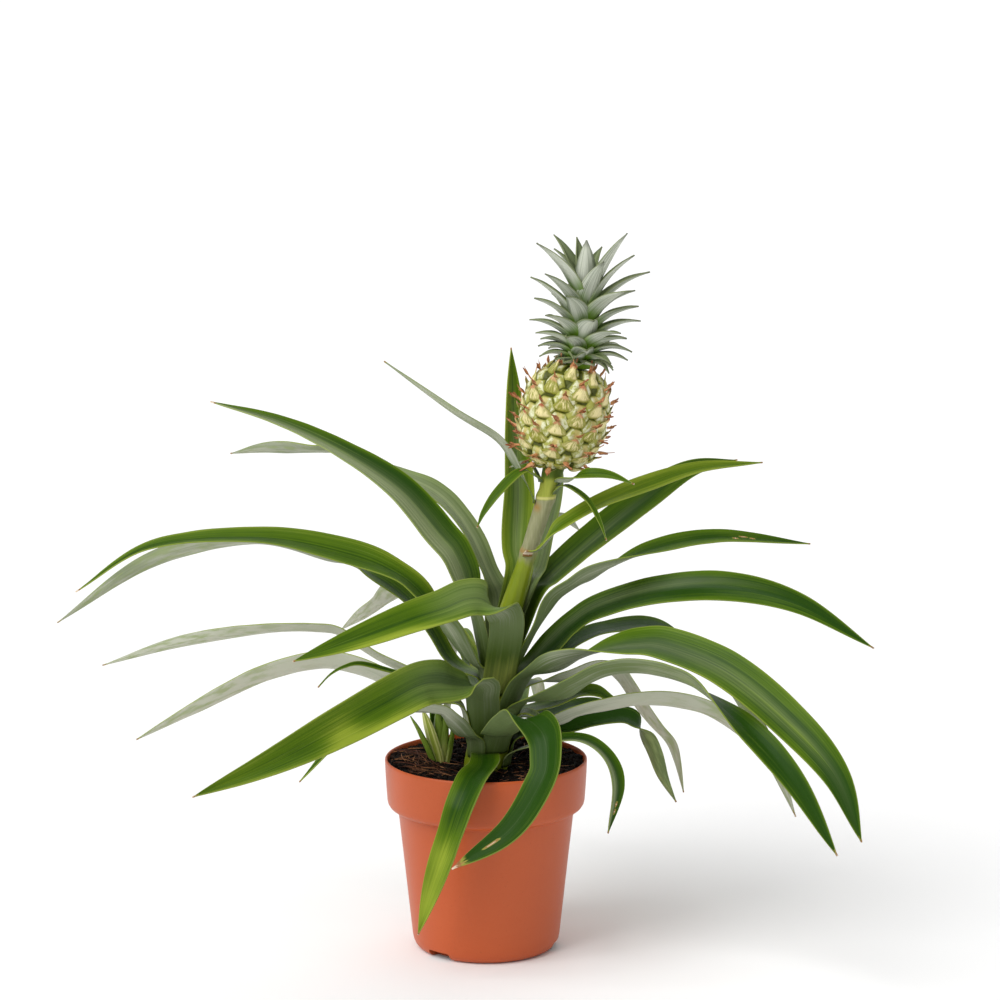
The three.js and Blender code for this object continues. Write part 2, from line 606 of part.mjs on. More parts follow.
// Short stiff blades of the crown and the side shoot. root and tip are each distance out and
// height, and the middle stands off the straight line between them by bow.
function bladeSolid({ root, tip, bow, width, turn, thickness, rows, taper = blade.taper }) {
  const out = vector(Math.cos(turn * degrees), Math.sin(turn * degrees), 0);
  const side = vector(-Math.sin(turn * degrees), Math.cos(turn * degrees), 0);
  const [run, climb] = [tip[0] - root[0], tip[1] - root[1]];
  const reach = Math.hypot(run, climb);
  const rings = [];
  for (let row = 0; row <= rows; row++) {
    const share = row / rows;
    const arch = 4 * bow * share * (1 - share);
    const lean = 4 * bow * (1 - 2 * share);
    const slope = Math.atan2(climb + (lean * run) / reach, run - (lean * climb) / reach);
    const place = out.clone().multiplyScalar(root[0] + run * share - (arch * climb) / reach);
    place.z = root[1] + climb * share + (arch * run) / reach;
    const face = out.clone().multiplyScalar(-Math.sin(slope)).addScaledVector(upward, Math.cos(slope));
    const swell = lerp(blade.neck, 1, smoothstep(share, 0, blade.fullWidthAt));
    const half = Math.max((width / 2) * swell * (1 - share ** taper), blade.tipHalfWidth);
    const corner = (u, lift) => place.clone().addScaledVector(side, u * half).addScaledVector(face, lift);
    rings.push([corner(-1, thickness / 2), corner(0, -thickness), corner(1, thickness / 2)]);
  }
  return solidOf(skin(rings));
}

// Pot

function potGeometry() {
  const rimFoot = pot.height - pot.rimHeight;
  const profile = [
    [0, 0],
    [pot.baseFlatRadius, 0],
    ...pot.foot.map(([inset, height]) => [pot.bodyBaseRadius - inset, height]),
    ...pot.shoulder.map(([outset, height]) => [pot.bodyTopRadius + outset, rimFoot + height]),
    ...pot.lip.map(([inset, height]) => [pot.rimRadius - inset, pot.height + height]),
    [pot.rimRadius - pot.wall - 1, rimFoot + pot.insideRimFoot],
    [pot.bodyTopRadius - pot.wall, rimFoot - pot.insideRimFoot],
    [pot.bodyBaseRadius - pot.wall, pot.insideFoot.height],
    [pot.bodyBaseRadius - pot.wall - pot.insideFoot.narrowing, pot.floor],
    [0, pot.floor],
  ].map(([radius, height]) => new THREE.Vector2(radius, height));
  const shell = new THREE.LatheGeometry(profile, pot.sides).rotateX(Math.PI / 2);
  let solid = solidOf(shell);
  for (const turn of notch.turns) {
    const depth = notch.outer - notch.inner;
    const cutter = new THREE.BoxGeometry(depth, notch.width, notch.height * 2);
    cutter.translate((notch.outer + notch.inner) / 2, 0, 0);
    cutter.rotateZ(turn * degrees);
    solid = solid.subtract(solidOf(cutter));
  }
  return geometryOfSolid(solid);
}

// Soil

function soilLevel(x, y, seed) {
  const { heap } = soil;
  const reach = Math.hypot(x - heap.x, y - heap.y) / heap.spread;
  const edge = soil.edgeRise * smoothstep(Math.hypot(x, y), soil.edgeFrom, soil.edgeTo);
  return soil.level + edge + heap.rise * Math.exp(-(reach ** 2)) + soil.roughness * draw(seed);
}

function soilGeometry() {
  const rimFoot = pot.height - pot.rimHeight;
  const inner = pot.wall + gap;
  const walls = [
    [pot.bodyBaseRadius - inner - pot.insideFoot.narrowing - soil.baseInset, pot.floor + gap],
    [pot.bodyBaseRadius - inner, pot.insideFoot.height],
    [pot.bodyTopRadius - inner, rimFoot - pot.insideRimFoot],
    [pot.rimRadius - inner - soil.rimFootInset, rimFoot + pot.insideRimFoot],
    [soil.rings[0] + soil.edgeOutset, soil.edgeHeight],
  ];
  const ring = (radius, height) => Array.from({ length: soil.sides }, (_, side) => {
    const turn = (side / soil.sides) * 2 * Math.PI;
    const [x, y] = [radius * Math.cos(turn), radius * Math.sin(turn)];
    return vector(x, y, height ?? soilLevel(x, y, side + 97 * radius));
  });
  const rings = [
    ...walls.map(([radius, height]) => ring(radius, height)),
    ...soil.rings.map((radius) => ring(radius)),
  ];
  let solid = solidOf(skin(rings));
  const plug = (x, y, radius, bottom) => {
    const wide = radius + hole.clearance;
    const depth = hole.top - bottom;
    const rod = new THREE.CylinderGeometry(wide, wide, depth, stemSides * 2).rotateX(Math.PI / 2);
    return solidOf(rod.translate(x, y, bottom + depth / 2));
  };
  solid = solid.subtract(plug(0, 0, stemAt(soil.level).radius, stemStations[0][0] - gap));
  solid = solid.subtract(plug(shoot.x, shoot.y, shoot.radius, shoot.base - gap));
  return geometryOfSolid(solid);
}

// Fruit

function fruitRadius(share) {
  const square = fruit.squareness;
  return fruit.radius * (1 - Math.abs(2 * share - 1) ** square) ** (1 / square);
}

// Where the fruit's rounded ends are cut flat
const fruitEnd = 0.5 * (1 - (1 - (fruit.endRadius / fruit.radius) ** fruit.squareness) ** (1 / fruit.squareness));

// Heights that share the fruit's surface out evenly
function eyeHeights() {
  const steps = 200;
  const area = [0];
  for (let step = 1; step <= steps; step++) {
    const radiusNow = fruitRadius(step / steps);
    const radiusBefore = fruitRadius((step - 1) / steps);
    const run = Math.hypot(fruit.length / steps, radiusNow - radiusBefore);
    area.push(area.at(-1) + (radiusNow + radiusBefore) * run);
  }
  return Array.from({ length: fruit.eyes }, (_, eye) =>
    area.findIndex((sum) => sum >= (area.at(-1) * (eye + 0.5)) / fruit.eyes) / steps);
}

function eyeSolid(share, turn) {
  const delta = 0.01;
  const radius = fruitRadius(share);
  const slope = (fruitRadius(share + delta) - fruitRadius(share - delta)) / (2 * delta * fruit.length);
  const out = vector(Math.cos(turn), Math.sin(turn), 0);
  const side = vector(-Math.sin(turn), Math.cos(turn), 0);
  const climb = out.clone().multiplyScalar(slope).add(upward).normalize();
  const normal = side.clone().cross(climb).normalize();
  const centre = out.clone().multiplyScalar(radius).setZ(share * fruit.length);
  const size = lerp(fruit.endEyeSize, 1, smoothstep(Math.sin(Math.PI * share), 0.2, 0.8));
  const ring = (reach, lift) => Array.from({ length: 6 }, (_, k) => {
    const angle = (k / 6 + 1 / 12) * 2 * Math.PI;
    return centre.clone()
      .addScaledVector(side, Math.cos(angle) * reach * size)
      .addScaledVector(climb, Math.sin(angle) * reach * size)
      .addScaledVector(normal, lift * size);
  });
  const tip = centre.clone()
    .addScaledVector(climb, fruit.tipClimb * size)
    .addScaledVector(normal, fruit.tipRise * size);
  const foot = ring(fruit.eyeRadius, -fruit.eyeNeck.sink);
  const neck = ring(fruit.eyeRadius * fruit.eyeNeck.reach, fruit.eyeRise);
  return solidOf(skin([foot, neck], tip));
}

function fruitGeometry() {
  const rings = Array.from({ length: fruit.bands + 1 }, (_, band) => {
    const share = 0.5 - (0.5 - fruitEnd) * Math.cos((band / fruit.bands) * Math.PI);
    const radius = fruitRadius(share);
    return Array.from({ length: fruit.sides }, (_, side) => {
      const turn = (side / fruit.sides) * 2 * Math.PI;
      return vector(radius * Math.cos(turn), radius * Math.sin(turn), share * fruit.length);
    });
  });
  const solids = [solidOf(skin(rings))];
  eyeHeights().forEach((share, eye) => {
    if (share < fruit.eyesFrom || share > fruit.eyesTo) return;
    solids.push(eyeSolid(share, (fruit.firstTurn + eye * fruit.eyeTurn) * degrees));
  });
  return geometryOfSolid(mainBody(wasm.Manifold.union(solids)));
}

// Crown

function crownGeometry() {
  const { core } = crown;
  const radiusAt = (height) => lerp(core.baseRadius, core.topRadius, clamp(height / core.to, 0, 1));
  const rings = [core.from, core.to / 2, core.to].map((height) =>
    Array.from({ length: core.sides }, (_, side) => {
      const turn = (side / core.sides) * 2 * Math.PI;
      const radius = radiusAt(height);
      return vector(radius * Math.cos(turn), radius * Math.sin(turn), height);
    }));
  const solids = [solidOf(skin(rings))];
  for (const [turn, height, reach, tip, width, bow] of crownLeaves) {
    const root = [radiusAt(height) * crown.rootDepth, height];
    const rows = tip < crown.shortTip ? crown.shortRows : crown.rows;
    solids.push(bladeSolid({ root, tip: [reach, tip], bow, width, turn, thickness: crown.thickness, rows }));
  }
  return geometryOfSolid(mainBody(wasm.Manifold.union(solids)));
}

// Side shoot

function shootGeometry() {
  const levels = [[shoot.base, shoot.radius], [shoot.waist, shoot.radius], [shoot.top, shoot.topRadius]];
  const rings = levels.map(([z, radius]) => Array.from({ length: shoot.sides }, (_, side) => {
    const turn = (side / shoot.sides) * 2 * Math.PI;
    return vector(radius * Math.cos(turn), radius * Math.sin(turn), z);
  }));
  const solids = [solidOf(skin(rings))];
  for (const shootBlade of shootBlades) {
    const shape = { thickness: shootThickness, rows: shootRows, taper: shootTaper };
    solids.push(bladeSolid({ ...shape, ...shootBlade }));
  }
  const whole = wasm.Manifold.union(solids).translate([shoot.x, shoot.y, 0]);
  return geometryOfSolid(mainBody(whole));
}

// Assembly

addPiece("pot", potGeometry(), materials.pot);
addPiece("soil", soilGeometry(), materials.soil);
addPiece("stem", stemGeometry(), materials.stem);
for (const leaf of leaves) {
  addPiece(leaf.name, leafGeometry(leaf), leaf.name.startsWith("bract") ? materials.bract : materials.leaf);
}
addPiece("side_shoot", shootGeometry(), materials.shoot);

const fruitMesh = addPiece("fruit", fruitGeometry(), materials.fruit);
const fruitAxis = vector(Math.sin(fruit.tilt * degrees), 0, Math.cos(fruit.tilt * degrees));
fruitMesh.position.fromArray(fruit.base).addScaledVector(fruitAxis, -fruitEnd * fruit.length);
fruitMesh.rotation.y = fruit.tilt * degrees;

const crownMesh = addPiece("crown", crownGeometry(), materials.crown);
crownMesh.position.fromArray(crown.root);
crownMesh.rotation.y = crown.tilt * degrees;

export default plant;
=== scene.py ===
import math
import random

import bmesh
import bpy
from mathutils import Matrix, Vector, noise


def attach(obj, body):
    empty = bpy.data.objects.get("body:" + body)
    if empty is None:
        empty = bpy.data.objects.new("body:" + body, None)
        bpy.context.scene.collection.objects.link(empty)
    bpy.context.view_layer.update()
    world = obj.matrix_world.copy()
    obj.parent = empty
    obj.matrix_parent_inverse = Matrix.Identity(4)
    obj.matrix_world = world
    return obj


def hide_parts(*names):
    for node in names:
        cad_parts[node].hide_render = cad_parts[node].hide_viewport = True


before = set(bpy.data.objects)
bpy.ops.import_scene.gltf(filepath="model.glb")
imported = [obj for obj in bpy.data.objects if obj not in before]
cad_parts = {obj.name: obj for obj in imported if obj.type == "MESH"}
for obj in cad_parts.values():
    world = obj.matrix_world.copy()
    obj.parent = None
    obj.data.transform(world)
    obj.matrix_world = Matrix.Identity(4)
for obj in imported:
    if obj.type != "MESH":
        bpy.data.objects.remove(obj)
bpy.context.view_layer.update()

mm = 0.001
up = Vector((0, 0, 1))


# Small helpers

def clamp(value, low=0.0, high=1.0):
    return max(low, min(high, value))


def lerp(a, b, share):
    return a + (b - a) * share


def smooth(value, low, high):
    share = clamp((value - low) / (high - low))
    return share * share * (3 - 2 * share)


def bell(value, width):
    return math.exp(-(value / width) ** 2)


def polar(reach, turn, height=0.0):
    return Vector((reach * math.cos(turn), reach * math.sin(turn), height))


def addObject(name, data):
    made = bpy.data.objects.new(name, data)
    bpy.context.scene.collection.objects.link(made)
    return made


def meshFrom(name, bm):
    mesh = bpy.data.meshes.new(name)
    bm.to_mesh(mesh)
    bm.free()
    return mesh


def addPiece(name, bm, looks, slot, *nodes, shade=True):
    mesh = meshFrom(name, bm)
    if shade:
        mesh.shade_smooth()
    for look in looks:
        mesh.materials.append(look)
    piece = addObject(name, mesh)
    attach(piece, "root")
    if nodes:
        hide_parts(*nodes)
    return piece


def thicken(piece, thickness):
    # a sheet becomes a wall, with the second look on its underside
    wall = piece.modifiers.new("wall", "SOLIDIFY")
    wall.thickness = thickness * mm
    wall.offset = 0
    wall.material_offset = 1


def unitTube(segments, rings):
    # an upright tube of radius 1 from z 0 to 1, closed at both ends
    bm = bmesh.new()
    bmesh.ops.create_cone(bm, cap_ends=True, cap_tris=False, segments=segments,
                          radius1=1, radius2=1, depth=1)
    bmesh.ops.translate(bm, verts=bm.verts, vec=(0, 0, 0.5))
    rising = [e for e in bm.edges if abs(e.verts[0].co.z - e.verts[1].co.z) > 0.5]
    bmesh.ops.subdivide_edges(bm, edges=rising, cuts=rings - 1, use_grid_fill=False)
    return bm


def unitGrid(columns, rows):
    # a flat sheet: x runs -1 to 1 across, y 0 to 1 along
    bm = bmesh.new()
    bmesh.ops.create_grid(bm, x_segments=columns, y_segments=rows, size=1)
    for vert in bm.verts:
        vert.co.y = (vert.co.y + 1) / 2
    return bm


def joinInto(bm, part):
    # part's faces become part of bm, with their layers
    held = meshFrom("held", part)
    bm.from_mesh(held)
    bpy.data.meshes.remove(held)


def addLayers(bm, names):
    return [bm.verts.layers.float.new(name) for name in names]


def setLayers(vert, layers, values):
    for layer, value in zip(layers, values):
        vert[layer] = value


# Camera: the photograph's height, distance and tilt

camera = {
    "place": (0.0083, -1.8, 0.578),
    "tiltDown": 9.72,
    "lens": 112.3,
    "sensorWidth": 36,
    "sightEnd": 400,
}


def makeCamera():
    data = bpy.data.cameras.new("camera")
    data.lens = camera["lens"]
    data.sensor_width = camera["sensorWidth"]
    data.clip_end = camera["sightEnd"]
    eye = addObject("camera", data)
    eye.location = camera["place"]
    eye.rotation_euler = (math.radians(90 - camera["tiltDown"]), 0, 0)
    bpy.context.scene.camera = eye


makeCamera()
print("camera placed")


# Shader building

class Wire:  # a node's output, with the maths that an expression writes
    def __init__(self, look, socket):
        self.look = look
        self.socket = socket

    def __add__(self, other):
        return self.look.maths("ADD", self, other)

    def __sub__(self, other):
        return self.look.maths("SUBTRACT", self, other)

    def __rsub__(self, other):
        return self.look.maths("SUBTRACT", other, self)

    def __mul__(self, other):
        return self.look.maths("MULTIPLY", self, other)

    def __pow__(self, other):
        return self.look.maths("POWER", self, other)

    __radd__ = __add__
    __rmul__ = __mul__

    def sway(self, amount):
        # a pattern of 0 to 1, as an amount to either side of nothing
        return (self - 0.5) * amount


class Look:  # one material and the nodes in it
    def __init__(self, name):
        self.material = bpy.data.materials.new(name)
        self.material.use_nodes = True
        self.tree = self.material.node_tree
        self.tree.nodes.clear()
        self.shader = self.tree.nodes.new("ShaderNodeBsdfPrincipled")
        output = self.tree.nodes.new("ShaderNodeOutputMaterial")
        self.tree.links.new(self.shader.outputs[0], output.inputs["Surface"])

    def feed(self, socket, value):
        if isinstance(value, Wire):
            self.tree.links.new(value.socket, socket)
        elif socket.type == "RGBA" and len(value) == 3:
            socket.default_value = (*value, 1)
        else:
            socket.default_value = value

    def node(self, kind, settings, values, result=0):
        made = self.tree.nodes.new("ShaderNode" + kind)
        for name, value in settings.items():
            if name == "stops":
                ramp = made.color_ramp
                while len(ramp.elements) < len(value):
                    ramp.elements.new(1)
                for element, (place, colour) in zip(ramp.elements, value):
                    element.position = place
                    element.color = (*colour, 1)
            else:
                setattr(made, name, value)
        for name, value in values.items():
            self.feed(made.inputs[name], value)
        return Wire(self, made.outputs[result])

    def maths(self, operation, *values):
        return self.node("Math", {"operation": operation}, dict(enumerate(values)))

    def size(self, value):
        return self.maths("ABSOLUTE", value)

    def larger(self, first, second):
        return self.maths("MAXIMUM", first, second)

    def step(self, value, low, high):
        # 0 at low and 1 at high, which may also be the smaller of the two
        return self.node("MapRange", {"interpolation_type": "SMOOTHSTEP"},
                         {"Value": value, "From Min": low, "From Max": high})

    def attribute(self, name):
        return self.node("Attribute", {"attribute_name": name}, {}, "Fac")

    def place(self):
        return self.node("TexCoord", {}, {}, "Object")

    def vector(self, x, y, z):
        return self.node("CombineXYZ", {}, {0: x, 1: y, 2: z})

    def scaled(self, vector, factors):
        return self.node("VectorMath", {"operation": "MULTIPLY"}, {0: vector, 1: factors})

    def noise(self, vector, scale, detail=2.0, roughness=0.5):
        return self.node("TexNoise", {}, {"Vector": vector, "Scale": scale, "Detail": detail,
                                          "Roughness": roughness})

    def mix(self, share, first, second):
        return self.node("Mix", {"data_type": "RGBA", "clamp_factor": True},
                         {0: share, 6: first, 7: second}, 2)

    def cover(self, colour, over, value, low, high, share=1.0):
        # over lies on colour where value has gone from low to high, as thick as share
        return self.mix(self.step(value, low, high) * share, colour, over)

    def ramp(self, value, *stops):
        return self.node("ValToRGB", {"stops": stops}, {"Fac": value})

    def bump(self, height, distance, strength=1.0):
        return self.node("Bump", {}, {"Height": height, "Distance": distance * mm,
                                      "Strength": strength})

    def surface(self, **values):
        for name, value in values.items():
            self.feed(self.shader.inputs[name.replace("_", " ")], value)
        return self.material


# Stem, which runs on as the fruit's stalk

stem = {
    # height, centre x and radius, in mm
    "stations": [(84, 0, 9), (90, 0, 12.5), (110, 0, 13), (150, 6, 11), (204, 14.5, 6.5), (234, 23.8, 4.8),
                 (238, 25, 5.4), (242, 26.2, 4.8), (267, 33.8, 5.2), (271, 35, 5.9), (275, 36.2, 5.2),
                 (291, 40, 6.5)],
    "segments": 40,
    "rings": 150,
    "leafZone": (84, 286),  # the heights between which leaves follow the stem's middle
    "broadRib": 0.018,  # as a share of the radius
    "fineRib": 0.012,
    "ringScar": {"height": 239, "reach": 1.3},
    "sideScar": {"height": 265, "reach": 2.2, "turn": 4.0},
    # heights in metres, as the look reads them: the scurf's two ends, the pale cup and the dark top
    "scurfFrom": (0.232, 0.240),
    "scurfTo": (0.270, 0.272),
    "cupHeight": 0.2715,
    "topFrom": (0.281, 0.285),
    "green": ((0.13, 0.20, 0.004), (0.28, 0.33, 0.012)),
    "scurf": ((0.19, 0.20, 0.09), (0.46, 0.43, 0.29)),
    "fresh": ((0.24, 0.30, 0.03), (0.44, 0.46, 0.07)),
    "scar": (0.36, 0.20, 0.045),
    "cup": (0.66, 0.62, 0.22),
    "top": (0.10, 0.16, 0.01),
}


def stemAt(height):
    # the stem's middle and radius
    stations = stem["stations"]
    for low, high in zip(stations, stations[1:]):
        if height <= high[0]:
            break
    share = (height - low[0]) / (high[0] - low[0])
    return lerp(low[1], high[1], share), lerp(low[2], high[2], share)


def stemLook():
    look = Look("stalkSkin")
    place = look.place()
    height = look.node("SeparateXYZ", {}, {0: place}, 2)
    grain = look.noise(look.scaled(place, (1, 1, 0.12)), 900, 3)
    patches = look.noise(look.scaled(place, (1, 1, 0.5)), 120, 3)
    scurf = look.step(height + patches.sway(0.02), *stem["scurfFrom"])
    skin = look.mix(scurf * 0.85, look.mix(patches, *stem["green"]), look.mix(grain, *stem["scurf"]))
    skin = look.cover(skin, look.mix(grain, *stem["fresh"]), height + patches.sway(0.004), *stem["scurfTo"])
    skin = look.mix(look.attribute("scar"), skin, stem["scar"])
    skin = look.cover(skin, stem["cup"], look.size(height - stem["cupHeight"]), 0.0012, 0.0003, 0.8)
    skin = look.cover(skin, stem["top"], height, *stem["topFrom"])
    return look.surface(Base_Color=skin, Roughness=0.42 + scurf * 0.25, Specular_IOR_Level=0.3,
                        Normal=look.bump(grain, 0.35, 0.5))


def makeStem():
    bm = unitTube(stem["segments"], stem["rings"])
    scarLayers = addLayers(bm, ["scar"])
    ring, side = stem["ringScar"], stem["sideScar"]
    bottom, top = stem["stations"][0][0], stem["stations"][-1][0]
    for vert in bm.verts:
        height = lerp(bottom, top, vert.co.z)
        x, radius = stemAt(height)
        ahead = stemAt(height + 2)[0] if height < top - 2 else x + 0.6
        tilt = math.atan2(ahead - x, 2)
        turn = math.atan2(vert.co.y, vert.co.x)
        broadRib = stem["broadRib"] * math.sin(9 * turn + 0.05 * height)
        ribs = 1 + broadRib + stem["fineRib"] * math.sin(17 * turn)
        reach = radius * ribs * math.hypot(vert.co.x, vert.co.y)
        out, deep = reach * math.cos(turn), reach * math.sin(turn)
        facing = smooth(math.cos(turn - side["turn"]), 0.7, 1.0)
        sideScar = bell(height - side["height"], side["reach"]) * facing
        scar = max(bell(height - ring["height"], ring["reach"]), sideScar)
        setLayers(vert, scarLayers, [0.9 * scar * smooth(-math.cos(turn), -0.3, 0.7)])
        vert.co = Vector((x + out * math.cos(tilt), deep, height - out * math.sin(tilt))) * mm
    addPiece("stemSkin", bm, [stemLook()], "stem", "stem")


# Leaves

# What every leaf has unless its own line says otherwise, with lengths in mm
leafShape = {
    "sheathSlope": 0.42,  # how fast a sheath leaves the stem
    "sheathStandOff": 1,
    "sheathWrap": 1.15,  # the most that it goes round the stem to either side, in radians
    "turnsBy": 0.3,  # the share by which the blade's level way has gone from the root's to the tip's
    "blend": 26,  # the length over which the sheath opens into the blade
    "neck": 0.85,  # width at the neck, as a share of the whole width
    "fullWidthAt": 0.35,
    "taper": 3,  # the higher it is, the longer the blade keeps its width
    "curl": 0.5,  # half the angle of the channel, as cup is at the neck
    "tipHalfWidth": 0.35,
    "thickness": 0.75,
    "columns": 17,
    "edgeCrowding": 1.35,
    "rowEvery": 2.2,
    "leastRows": 24,
    "crease": 0.055,  # depth and width of the fold along the middle, as shares of the half width
    "creaseWidth": 0.22,
    "ripple": 0.35,
}

